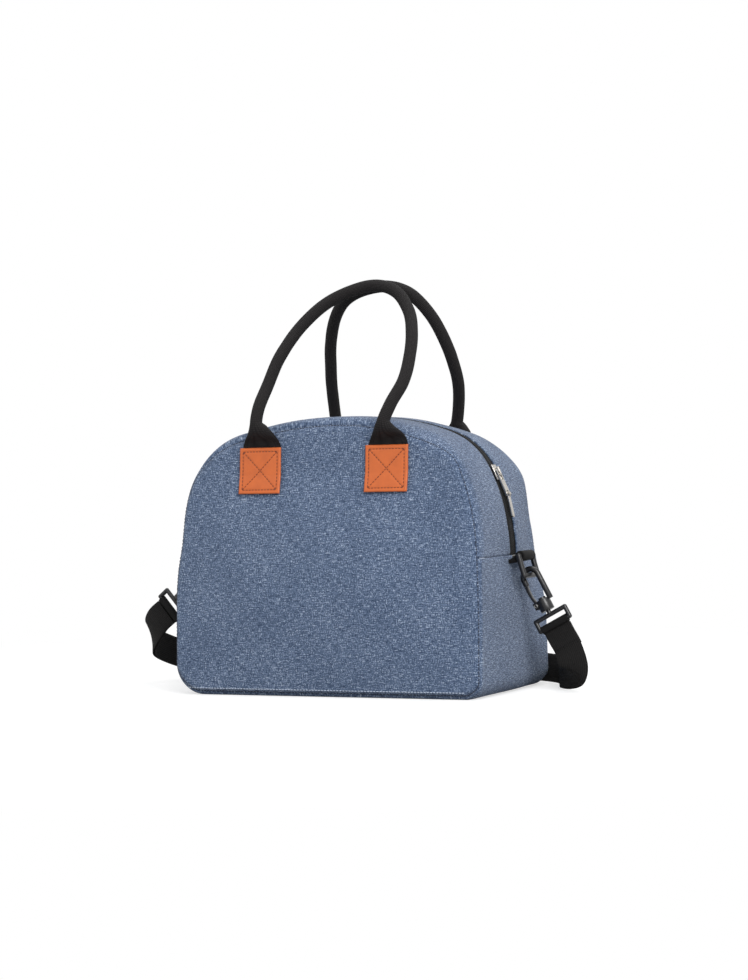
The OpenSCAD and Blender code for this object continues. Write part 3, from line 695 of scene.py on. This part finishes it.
# painted shade and highlight of the weave: the colour darkens between the yarns and brightens on their tops
painted_weave_shade = add_node(heather, "ShaderNodeMapRange", {"Value": yarn_weave.outputs[0], "To Min": 0.86,
                "To Max": 1.06})
toned = add_node(heather, "ShaderNodeVectorMath", {0: yarns.outputs[0], 3: painted_weave_shade.outputs[0]},
                 operation="SCALE")
slub = add_math(heather, "MULTIPLY", both, slub_height)
heather.links.new(toned.outputs[0], heather_out.inputs["Color"])
heather.links.new(add_math(heather, "ADD", slub, yarn_weave.outputs[0]), heather_out.inputs["Height"])


def heather_material(name, shade):
    """The bag's heather cloth. A higher shade is a paler cloth."""
    made, tree, surface = new_material(name)
    uv = add_node(tree, "ShaderNodeUVMap", uv_map="UVMap")
    yarn = place_group(tree, heather, {"Vector": uv.outputs[0], "Shade": shade})
    tree.links.new(yarn.outputs["Color"], surface.inputs["Base Color"])
    add_relief(tree, surface, yarn.outputs["Height"], 0.55, 0.4 * mm)
    surface.inputs["Roughness"].default_value = 0.85
    surface.inputs["Specular IOR Level"].default_value = 0.2
    surface.inputs["Sheen Weight"].default_value = 0.15
    return made


blue_cloth = heather_material("heather_blue", 0.0)


def seam_in(s):
    """How far the gusset rolls over onto the front before its seam: most on top, least at the sides."""
    z, nx, nz = on_rim(s)[1:]
    base_roll = 2.4 * mm * ease(-nz * 1.2)
    if nx > 0:
        side_roll = 2.6 * mm * ease((z - 60 * mm) / (110 * mm)) * (1 - ease(nz / 0.8))
        top_roll = 6 * mm * ease((nz - 0.55) / 0.42)
    else:
        side_roll, top_roll = 0.0, 6 * mm * ease((nz - 0.3) / 0.65)
    return 1 * mm + base_roll + side_roll + top_roll


full_shoulder, side_slack, top_slack = 10 * mm, 7.5 * mm, 3.6 * mm


def give(s, y):
    """How far the soft wall stands out from its plain outline: full at the left shoulder, slack at the back
    of the right side and behind the zip's top."""
    z, nx = on_rim(s)[1:3]
    if nx < 0:
        return full_shoulder * ease((z - 120 * mm) / (60 * mm)) * ease(-1.25 * nx)
    slack = side_slack * ease((z - 60 * mm) / (60 * mm)) * (1 - ease((z - 140 * mm) / (52 * mm)))
    slack += top_slack * ease((z - 176 * mm) / (26 * mm)) * ease(3 * nx)
    return -slack * ease((y - 8 * mm) / (54 * mm))


def fold_with(made, flap):
    """Makes a piece stay on the bag up to the fold and bend with the flap over the next 60 mm."""
    hinge_y = joints[flap + "_fold"]["pos_m"][1]
    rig.blend(made, "bag", flap, (0, hinge_y, fold_z), (0, hinge_y, fold_z + 60 * mm))


def thicken(made, thick):
    """Gives a sheet its thickness, inwards."""
    body = made.modifiers.new("thickness", "SOLIDIFY")
    body.thickness = thick
    body.offset = -1


def add_shell(name, bm, depth, thick, material, slot, stands_for, body=None, flap=None):
    """A layer of the wall: the surface moved in by depth and given its thickness."""
    bm.normal_update()
    for v in bm.verts:
        v.co -= v.normal * depth
    made = add_piece(name, bm, material, slot, body, stands_for)
    if flap:
        fold_with(made, flap)
    thicken(made, thick)


# ---- Front and back panels ----
# Each is one arch of cloth on foam, sewn to the gusset all round. It swells out below the handles, and a flat
# hidden pocket opens across the front one. The upper half folds out when the bag is open.
panel_sides = (("front", -1), ("back", 1))
panel_middle = (4 * mm, 112 * mm)
panel_swell, swell_half_w, swell_h = 8 * mm, 134 * mm, 186 * mm
seam_lines = {side: np.array([on_rim(s, seam_in(s) - give(s, side * half_d))[:2]
                              for s in np.linspace(0, rim_length, 720, endpoint=False)]) for side in (-1, 1)}
pocket_z, pocket_x0, pocket_x1 = 140 * mm, -62 * mm, 104 * mm
pocket_lift, pocket_end = 0.7 * mm, 20 * mm


def panel_y(x, z, side):
    """How far the panel's face lies from the middle of the bag. side is -1 in front and 1 behind."""
    gap = float(np.min(np.hypot(seam_lines[side][:, 0] - x, seam_lines[side][:, 1] - z)))
    rolled = 3 * mm * (1 - fall(gap, 6 * mm)) - 1.6 * mm * fall(gap, 2.6 * mm)
    # a raised edge just above the base seam
    rolled += 0.5 * mm * ridge(gap, 2.7 * mm, 1.3 * mm) * ease((20 * mm - z) / (10 * mm))
    across = max(0.0, 1 - (x / swell_half_w) ** 2)
    swell = panel_swell * across * math.sin(math.pi * min(z / swell_h, 1)) ** 0.9
    still = ease(gap / (14 * mm))
    uneven = still * (0.9 * mm * ripple(x, side, z, 70 * mm, 3 + side)
                      + 0.35 * mm * ripple(x, side, z, 26 * mm, 9 + side))
    pocket = 0.0
    if side < 0:
        inside = ease((x - pocket_x0) / pocket_end) * ease((pocket_x1 - x) / pocket_end)
        below = pocket_z - z
        pocket = inside * pocket_lift * (ease(below / (1.2 * mm)) - ease((below - 1.2 * mm) / (26 * mm)))
    return seam_y(z) + rolled + swell + uneven + pocket


def facing_out(bm, drawn_inwards):
    """Turns a surface's faces round where it was drawn facing inwards."""
    if drawn_inwards:
        bmesh.ops.reverse_faces(bm, faces=bm.faces)
    return bm


def panel_surface(side, rings, around, inset):
    """An arch made of rings that close in on its middle, with its outer edge inset from the seam."""
    def pattern(u, v):
        s = u * rim_length
        x, z = on_rim(s, seam_in(s) + inset - give(s, side * half_d))[:2]
        inward = v ** 1.7
        return x + (panel_middle[0] - x) * inward, z + (panel_middle[1] - z) * inward

    def place(u, v):
        x, z = pattern(u, v)
        return Vector((x, side * panel_y(x, z, side), z))

    bm = woven_surface(around, rings, place, pattern)
    bmesh.ops.remove_doubles(bm, verts=bm.verts, dist=1e-5)
    return facing_out(bm, side > 0)


def foil_material():
    """Thin crinkled aluminium film."""
    made, tree, surface = new_material("foil")
    spot = add_node(tree, "ShaderNodeTexCoord")
    creases = add_node(tree, "ShaderNodeTexVoronoi", {"Vector": spot.outputs["Object"], "Scale": 70},
                       feature="DISTANCE_TO_EDGE").outputs["Distance"]
    soft = add_noise(tree, spot.outputs["Object"], 45, 5)
    add_relief(tree, surface, add_math(tree, "ADD", creases, soft), 0.5, 2 * mm)
    add_gloss(tree, surface, soft, 0.22, 0.42)
    surface.inputs["Base Color"].default_value = srgb(214, 217, 221)
    surface.inputs["Metallic"].default_value = 1.0
    return made


foam = grainy_material("white_foam", srgb(232, 231, 226), 0.8, scale=1500, bump=0.6)
foil = foil_material()
cloth_t, foam_t, foil_t = 1.2 * mm, 4 * mm, 0.8 * mm
wall_layers = (("", 0, cloth_t, blue_cloth, "shell_fabric"),
               ("_foam", cloth_t, foam_t, foam, "insulation_foam"),
               ("_lining", cloth_t + foam_t, foil_t, foil, "foil_lining"))
panel_nodes = {"": ["panel_lower", "panel_upper"], "_foam": ["foam_lower", "foam_upper"],
               "_lining": ["lining_upper"]}
for end, side in panel_sides:
    for layer, depth, thick, material, slot in wall_layers:
        # the hidden layers need fewer faces
        rings, around = (46, 220) if depth == 0 else (16, 90)
        add_shell(f"{end}_panel{layer}", panel_surface(side, rings, around, 0.9 * depth), depth, thick,
                  material, slot, [f"{end}_{n}" for n in panel_nodes[layer]], flap=end + "_flap")


# The flat pocket's opening has a narrow hem that hardly shows. Its cloth is a little darker, as painted shade at the
# opening.
hem_w, hem_t = 1.4 * mm, 0.25 * mm


def hem_pattern(u, v):
    """A point's distance along the hem and up it."""
    return (pocket_x1 - pocket_x0) * u, hem_w * v


def hem_place(u, v):
    """A point of the hem, just proud of the front panel."""
    along, up = hem_pattern(u, v)
    x, z = pocket_x0 + along, pocket_z + up
    return Vector((x, -panel_y(x, z, -1) - hem_t * math.sin(math.pi * v) ** 0.5, z))


# the same cloth made a little darker: painted shade along the pocket's opening
hem_cloth_painted_shade = heather_material("heather_hem_painted_shade", -0.02)
hem = add_piece("pocket_hem", woven_surface(120, 4, hem_place, hem_pattern), hem_cloth_painted_shade, "shell_fabric")
fold_with(hem, "front_flap")


# ---- Gusset ----
# One strip of the same cloth makes the base and both sides up to the fold. Above it, a strip on each side of
# the zip goes over the arch. Their edges roll over before they meet the panels' seams.
def gusset_skin(s, y):
    """A point of the gusset's face, at the distance s round the outline and y across."""
    x0, z0, nx, nz = on_rim(s)
    edge = max(seam_y(z0) - abs(y), 0.0)
    rolled = seam_in(s)
    upright = abs(nx) ** 1.5
    height = z0 - fold_z
    puff = 2.4 * mm * math.sin(math.pi * min(edge / seam_y(z0), 1) / 2) * ease(abs(height) / (35 * mm))
    if height > 0:
        puff = 1.5 * mm * math.sin(math.pi * min(edge / (seam_y(z0) - 7 * mm), 1)) * ease(height / (30 * mm))
        puff *= 1 - 0.7 * abs(nz)
        upright = 1.0
    # the roll is round on top and on the left, and a flatter slope on the right
    flatter = ease(2.5 * nx)
    inset = rolled * (1 - flatter) * fall(edge, 2.5 * mm + 0.9 * rolled) + 1.2 * mm * fall(edge, 2 * mm)
    inset += rolled * flatter * (1 - min(edge / (4 * mm + 1.8 * rolled), 1)) ** 1.7
    inset -= puff * upright + give(s, y)
    if height < 0:
        # the seam's turned edge shows through the cloth beside it
        inset -= 0.7 * mm * upright * ridge(edge, 3.2 * mm, 1.3 * mm)
    inset -= upright * ease(edge / (12 * mm)) * 0.5 * mm * ripple(x0, y, z0, 34 * mm, 5)
    # a shallow groove where the strips are sewn to the lower part
    inset += 0.7 * mm * fall(abs(height), 2.5 * mm) * (abs(nx) > 0.9)
    if nz < -0.9:
        inset = max(inset, 0.0)
    return Vector((x0 - inset * nx, y, z0 - inset * nz))


def gusset_surface(s0, s1, y0, y1, nu, nv):
    """The gusset from s0 to s1 round the outline, from y0 to y1 across, as shares of the seam's distance."""
    def across(s, v):
        return (y0 + (y1 - y0) * v) * seam_y(on_rim(s)[1])

    def place(u, v):
        s = s0 + (s1 - s0) * u
        return gusset_skin(s, across(s, v))

    bm = woven_surface(nu, nv, place, lambda u, v: (across(s0 + (s1 - s0) * u, v), s0 + (s1 - s0) * u))
    return facing_out(bm, y1 > y0)


zip_half = 6 * mm
lower_nodes = {"": "base_gusset", "_foam": "base_foam", "_lining": "lining_lower"}
upper_nodes = {"": "zip_strip", "_foam": "strip_foam", "_lining": "lining_upper"}
for layer, depth, thick, material, slot in wall_layers:
    fine = 1 if depth == 0 else 0.4
    # the inner layers stop short of the seams and of the zip
    trim = 1 - 0.9 * depth / seam_y(0.1)
    inner = (zip_half + 1.2 * mm if depth == 0 else 14 * mm) / seam_y(0.17)
    bm = gusset_surface(left_fold - rim_length, right_fold, -trim, trim, int(240 * fine), int(84 * fine))
    add_shell("gusset" + layer, bm, depth, thick, material, slot, [lower_nodes[layer]], body="bag")
    for end, side in panel_sides:
        bm = gusset_surface(right_fold, left_fold, side * trim, side * inner, int(260 * fine), int(40 * fine))
        add_shell(f"{end}_strip{layer}", bm, depth, thick, material, slot, [f"{end}_{upper_nodes[layer]}"],
                  flap=end + "_flap")


# ---- Inner binding ----
# Inside the bag, the raw edges of each seam are wrapped in a soft pale tape that is woven and folded round
# them. It runs right round with the seam, and the edge of the mouth shows it when the bag is open.
binding_r, binding_in = 3.6 * mm, 4.6 * mm


def binding_surface(side):
    """The rounded tape along one seam, all the way round the bag."""
    def place(u, v):
        s = u * rim_length
        x, z, nx, nz = on_rim(s, seam_in(s) + binding_in - give(s, side * half_d))
        out, over = binding_r * math.cos(2 * math.pi * v), binding_r * math.sin(2 * math.pi * v)
        return Vector((x + nx * out, side * (seam_y(z) - binding_r + over), z + nz * out))

    bm = woven_surface(300, 10, place, lambda u, v: (u * rim_length, v * 22 * mm))
    bmesh.ops.recalc_face_normals(bm, faces=bm.faces)
    return bm


binding_cloth = webbing_material("binding", srgb(176, 178, 180), srgb(214, 215, 216), 1300, 1300)
for end, side in panel_sides:
    fold_with(add_piece(end + "_binding", binding_surface(side), binding_cloth, "webbing"), end + "_flap")


# ---- Zip ----
# Two woven tapes run up one side, over the arch and down the other. Each carries half of a nylon coil, and a
# plated slider with a link and a tab joins the two halves.
zip_black = webbing_material("zip_tape", srgb(10, 10, 11), srgb(32, 31, 31), 1500, 900)
coil_black = grainy_material("nylon_coil", srgb(17, 17, 18), 0.5, shine=0.2)
tape_depth, tape_t, tape_w = 1.22 * mm, 0.55 * mm, 13.6 * mm
coil_w, coil_h, tooth_pitch = 2.5 * mm, 1.5 * mm, 1.6 * mm
zip_s0, zip_s1 = right_fold + 0.3 * mm, left_fold - 0.3 * mm
tooth_count = int((zip_s1 - zip_s0) / tooth_pitch)


def zip_point(s, y, out):
    """A point across the zip, out from the tape's face."""
    x, z, nx, nz = on_rim(s, tape_depth)
    return Vector((x + out * nx, y, z + out * nz))


def tape_surface(side):
    """One tape, from the middle of the zip to its outer edge."""
    bm = woven_surface(
        300, 8, lambda u, v: zip_point(zip_s0 + (zip_s1 - zip_s0) * u, side * (0.2 * mm + tape_w * v), 0),
        lambda u, v: (zip_s0 + (zip_s1 - zip_s0) * u, 14 * mm * v))
    return facing_out(bm, side > 0)


def coil_surface(side):
    """Half of the coil: a rounded row with a rib for each tooth, half a tooth out of step with the other."""
    def place(u, v):
        turn = 2 * math.pi * (u * tooth_count + (0.25 if side < 0 else 0.75))
        rib = 0.55 + 0.45 * math.sqrt(abs(math.sin(turn / 2)))
        return zip_point(zip_s0 + (zip_s1 - zip_s0) * u, side * (0.25 * mm + coil_w * v),
                         -0.05 * mm + coil_h * rib * math.sin(math.pi * v) ** 0.5)

    bm = woven_surface(tooth_count * 6, 8, place, lambda u, v: ((zip_s1 - zip_s0) * u, 3 * mm * v))
    return facing_out(bm, side > 0)


for end, side in panel_sides:
    tape = add_piece(end + "_tape", tape_surface(side), zip_black, "zip_tape", stands_for=[end + "_zip_tape"])
    fold_with(tape, end + "_flap")
    thicken(tape, tape_t)
    coil = add_piece(end + "_coil", coil_surface(side), coil_black, "zip_coil",
                     stands_for=[end + "_zip_teeth"])
    fold_with(coil, end + "_flap")

for node, body, width in (("zip_slider", "slider", 0.35 * mm), ("pull_link", "pull_link", 0.3 * mm),
                          ("pull_tab", "pull_tab", 0.3 * mm), ("zip_end_stops", "bag", 0.3 * mm)):
    add_piece(node + "_plated", softened(node, width), plated, "zip_metal", body, [node])


# ---- Ring tabs and rings ----
# On each side a folded tab of the strap's webbing is sewn in at the fold. It holds a rectangular ring of
# moulded nylon, on which the hook hangs.
for side in ("right", "left"):
    add_piece(side + "_tab", softened(side + "_ring_tab", 0.3 * mm), strap_black, "webbing", "bag",
              [side + "_ring_tab"])
    finish_in(black_nylon, side + "_ring")


# ---- Seam threads ----
# Both seams are closed with dark thread in long dashes that nearly join, so that they also paint the groove's shade
# as a dark line. The panel's lower edge is stitched again with pale thread. Pale tacks hold the side seams'
# ends, and dark ones the corners behind.
def sewn_rows(rows, outward, length, thick):
    """Rows of stitches, with one raised thread in each space between a row's points."""
    bm = bmesh.new()
    for points in rows:
        for a, b in zip(points, points[1:]):
            ahead = (b - a).normalized()
            side = outward.cross(ahead).normalized()
            add_thread(bm, (a + b) / 2, (ahead, side, ahead.cross(side)), (length / 2, thick / 2, thick / 2))
    bmesh.ops.recalc_face_normals(bm, faces=bm.faces)
    return bm


# dark thread for the tacks, which on the seams also stands in as painted shade along the grooves
navy_thread_and_seam_shade = grainy_material("navy_thread_and_seam_shade", srgb(30, 38, 54), 0.6, scale=2500, bump=0.5)
pale_thread = grainy_material("pale_thread", srgb(178, 190, 208), 0.6, scale=2500, bump=0.5)
thread_w = 0.9 * mm
# the seams' stitches are 2.7 mm long in every 3 mm, so the dark thread nearly joins into a line of painted shade
seam_pitch, seam_stitch = 3 * mm, 2.7 * mm
edge_row_z, edge_row_x, edge_stitch = 6.2 * mm, half_w - 13 * mm, 2.5 * mm
tack_places, tack_stitch = (2, 3.6, 5.2, 6.8, 8.4, 10), 1.7 * mm
seam_parts = (("right", 0, right_fold), ("top", right_fold, left_fold), ("left", left_fold, rim_length))


def seam_point(s, side):
    """A point in the groove between the gusset and a panel."""
    x, z = on_rim(s, seam_in(s) + 0.5 * mm - give(s, side * half_d))[:2]
    return Vector((x, side * (panel_y(x, z, side) + 0.1 * mm), z))


def corner_row(s, side, row):
    """The points of one short slanting row on the gusset's lower corner."""
    up = -1 if s == right_fold else 1
    return [gusset_skin(s + up * (94 - 5 * row - 1.6 * k) * mm, side * (seam_y(0.02) - (6 + 2.6 * k) * mm))
            for k in range(7)]


for end, side in panel_sides:
    outward = Vector((0, side, 0))
    for part, s0, s1 in seam_parts:
        points = [seam_point(s, side) for s in np.linspace(s0, s1, round((s1 - s0) / seam_pitch) + 1)]
        thread = add_piece(f"{end}_seam_{part}", sewn_rows([points], outward, seam_stitch, thread_w),
                           navy_thread_and_seam_shade, "shell_fabric")
        fold_with(thread, end + "_flap")
    points = [Vector((x, side * (panel_y(x, edge_row_z, side) + 0.15 * mm), edge_row_z))
              for x in np.linspace(-edge_row_x, edge_row_x, 92)]
    add_piece(end + "_edge_stitching", sewn_rows([points], outward, edge_stitch, thread_w), pale_thread,
              "shell_fabric", "bag")
    for where, s in (("right", right_fold), ("left", left_fold)):
        sideways = Vector((on_rim(s)[2], 0, 0))
        points = [gusset_skin(s, side * (seam_y(fold_z) - d * mm)) for d in tack_places]
        add_piece(f"{end}_tack_{where}", sewn_rows([points], sideways, tack_stitch, thread_w), pale_thread,
                  "shell_fabric", "bag")
        if side > 0:
            rows = [corner_row(s, side, row) for row in range(3)]
            add_piece(f"{end}_corner_tack_{where}", sewn_rows(rows, sideways, 1.9 * mm, 0.7 * mm),
                      navy_thread_and_seam_shade, "shell_fabric", "bag")


# ---- Handles ----
# Each handle is a wide webbing that is folded round a cord and sewn shut. At both ends it opens out flat, and
# a square leather patch holds it with a box and a cross of stitches.
patch_w, patch_t, patch_x = 39 * mm, 1.8 * mm, 58.5 * mm
patch_z = bag_h - 44 * mm
end_w, end_t = 36 * mm, 1.9 * mm
rope_r = 5.25 * mm
rope_y = half_d - 10 * mm * (patch_z + 30 * mm) / bag_h + rope_r + 0.8 * mm
rope_z = patch_z + 30.5 * mm
# x in shares of patch_x, y in shares of rope_y and z in mm over rope_z, from left to right
handle_routes = {
    "front": [(-0.99, 0.95, 21.5), (-0.94, 0.78, 42.5), (-0.84, 0.62, 66.5), (-0.65, 0.4, 91.5),
              (-0.35, 0.21, 111.5), (0.04, 0.11, 122.5), (0.42, 0.1, 125.5), (0.75, 0.14, 118.5),
              (1.0, 0.25, 101.5), (1.14, 0.42, 82.5), (1.2, 0.59, 62.5), (1.2, 0.77, 41.5),
              (1.09, 0.93, 22.5)],
    "back": [(-0.99, 0.95, 21.5), (-0.92, 0.78, 42.5), (-0.84, 0.64, 61.5), (-0.75, 0.51, 79.5),
             (-0.55, 0.32, 100.5), (-0.27, 0.16, 115.5), (0.07, 0.1, 123.5), (0.46, 0.1, 125.5),
             (0.8, 0.13, 118.5), (1.05, 0.24, 100.5), (1.18, 0.39, 79.5), (1.22, 0.57, 58.5),
             (1.19, 0.75, 40.5), (1.09, 0.92, 22.5)]}
rope_black = webbing_material("handle_webbing", srgb(15, 13, 14), srgb(52, 49, 49), 760, 760)


def handle_line(end, side):
    """The handle's middle line, from under the left patch over to under the right one."""
    def foot(x, up):
        return Vector((x, side * (panel_y(x, patch_z + up * mm, side) + end_t / 2), patch_z + up * mm))

    left = [foot(-patch_x, up) for up in (-16, 0, 14, 22)]
    right = [foot(patch_x, up) for up in (22, 14, 0, -16)]
    bend = [Vector((x * patch_x, side * rope_y, rope_z + 5 * mm)) for x in (-1, 1)]
    over = [Vector((x * patch_x, side * y * rope_y, rope_z + z * mm)) for x, y, z in handle_routes[end]]
    return left + [bend[0]] + over + [bend[1]] + right


def handle_surface(end, side):
    """The webbing that goes from flat to round and back to flat."""
    line = handle_line(end, side)
    last = len(line) - 1
    line_steps = 400
    fine = [on_line(line, last * k / line_steps) for k in range(line_steps + 1)]
    run = np.concatenate([[0], np.cumsum([(b - a).length for a, b in zip(fine, fine[1:])])])
    total = run[-1]
    # from each end: where it starts to narrow, where it starts to thicken, and where it is round
    shoulder_l, flat_l, round_l = 34 * mm, 42 * mm, 60 * mm

    def place(u, v):
        s = u * total
        at = np.interp(s, run, np.linspace(0, last, line_steps + 1))
        point, ahead = on_line(line, at), heading(line, at)
        wide = ahead.cross(Vector((0, 1, 0))).normalized()
        deep = wide.cross(ahead)
        near = min(s, total - s)
        narrowed = (near - shoulder_l) / (round_l - shoulder_l)
        closed = ease((near - flat_l) / (round_l - flat_l))
        half_wide = end_w / 2 + (rope_r - end_w / 2) * ease(narrowed)
        half_deep = end_t / 2 + (rope_r - end_t / 2) * closed ** 0.8
        c, d = math.cos(2 * math.pi * v), math.sin(2 * math.pi * v)
        if (c > 0) == (s > total / 2):
            # the fold leaves a round shoulder on this side
            half_wide = rope_r + (end_w / 2 - rope_r) * (1 - min(max(narrowed, 0), 1) ** 2) ** 0.62
        c = squared(c, 0.25 + 0.75 * closed)
        d = squared(d, 0.6 + 0.4 * closed)
        grip = 1 + 0.03 * ripple(s, 8 * mm * c, 8 * mm * d, 14 * mm, 4 + side) * closed
        return point + wide * (half_wide * c * grip) + deep * (half_deep * d * grip)

    return with_closed_ends(woven_surface(420, 28, place, lambda u, v: (u * total, v * 36 * mm)))


def leather_material():
    """Smooth tan leather with fine pores and a slight mottle."""
    made, tree, surface = new_material("tan_leather")
    spot = add_node(tree, "ShaderNodeTexCoord")
    pores = add_node(tree, "ShaderNodeTexVoronoi", {"Vector": spot.outputs["Object"], "Scale": 1400},
                     feature="DISTANCE_TO_EDGE").outputs["Distance"]
    mottle = add_noise(tree, spot.outputs["Object"], 120, 4)
    add_tone(tree, surface, mottle, srgb(176, 84, 34), srgb(208, 104, 44))
    add_relief(tree, surface, pores, 0.25, 0.3 * mm)
    add_gloss(tree, surface, mottle, 0.42, 0.56)
    return made


leather = leather_material()
brown_thread = grainy_material("brown_thread", srgb(104, 48, 30), 0.6, scale=2500, bump=0.5)
stitch_in, stitch_pitch, stitch_dip = 3.4 * mm, 2.9 * mm, 0.35 * mm


def leather_point(x, z, side, out):
    """A point over the patch, out from the webbing's face."""
    return Vector((x, side * (panel_y(x, z, side) + end_t + out), z))


def box_and_cross(x0):
    """The ends of the six rows of stitches on a patch."""
    reach = patch_w / 2 - stitch_in
    corners = [(x0 - reach, patch_z - reach), (x0 + reach, patch_z - reach), (x0 + reach, patch_z + reach),
               (x0 - reach, patch_z + reach)]
    cross = [(corners[0], corners[2]), (corners[1], corners[3])]
    return list(zip(corners, corners[1:] + corners[:1])) + cross


def row_distance(x, z, rows):
    """How far a point is from the nearest row of stitches."""
    best = 1.0
    for (ax, az), (bx, bz) in rows:
        along = Vector((bx - ax, bz - az))
        t = min(max(Vector((x - ax, z - az)).dot(along) / along.length_squared, 0), 1)
        best = min(best, math.hypot(x - ax - along.x * t, z - az - along.y * t))
    return best


def leather_surface(x0, side, rows):
    """A patch that dips along its stitches and rounds off at its cut edge."""
    def place(u, v):
        x, z = x0 + (u - 0.5) * patch_w, patch_z + (v - 0.5) * patch_w
        dip = stitch_dip * (1 - ease(row_distance(x, z, rows) / (1.3 * mm)))
        edge = min(u, 1 - u, v, 1 - v) * patch_w
        return leather_point(x, z, side, patch_t - dip - 0.9 * mm * fall(edge, 1.4 * mm))

    bm = woven_surface(64, 64, place, lambda u, v: (u * patch_w, v * patch_w))
    return facing_out(bm, side > 0)


def row_points(row, side):
    """A row's needle holes, just under the leather's face."""
    (ax, az), (bx, bz) = row
    count = round(math.hypot(bx - ax, bz - az) / stitch_pitch)
    return [leather_point(ax + (bx - ax) * k / count, az + (bz - az) * k / count, side, patch_t - 0.2 * mm)
            for k in range(count + 1)]


for end, side in panel_sides:
    handle = add_piece(end + "_handle_webbing", handle_surface(end, side), rope_black, "handle_rope",
                       stands_for=[f"{end}_handle_cover", f"{end}_handle_core", f"{end}_webbing_left",
                                   f"{end}_webbing_right"])
    pivot = joints[end + "_handle_fall"]["pos_m"]
    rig.blend(handle, end + "_flap", end + "_handle", (0, pivot[1], pivot[2] - 7 * mm),
             (0, pivot[1], pivot[2] + 9 * mm))
    for where, x0 in (("left", -patch_x), ("right", patch_x)):
        rows = box_and_cross(x0)
        patch = add_piece(f"{end}_leather_{where}", leather_surface(x0, side, rows), leather, "leather",
                          end + "_flap", [f"{end}_patch_{where}"])
        thicken(patch, 0.9 * mm)
        sewn = sewn_rows([row_points(row, side) for row in rows], Vector((0, side, 0)), 2.3 * mm, 0.75 * mm)
        add_piece(f"{end}_thread_{where}", sewn, brown_thread, "leather", end + "_flap")


# ---- Finish ----
# The bag's real size is kept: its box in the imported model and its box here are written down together, and
# the frame then takes the pieces over.
with open("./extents.json", "w") as file:
    json.dump({"cad": [list(c) for c in cad_box], "visual": [list(c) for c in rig.bounds()]}, file)
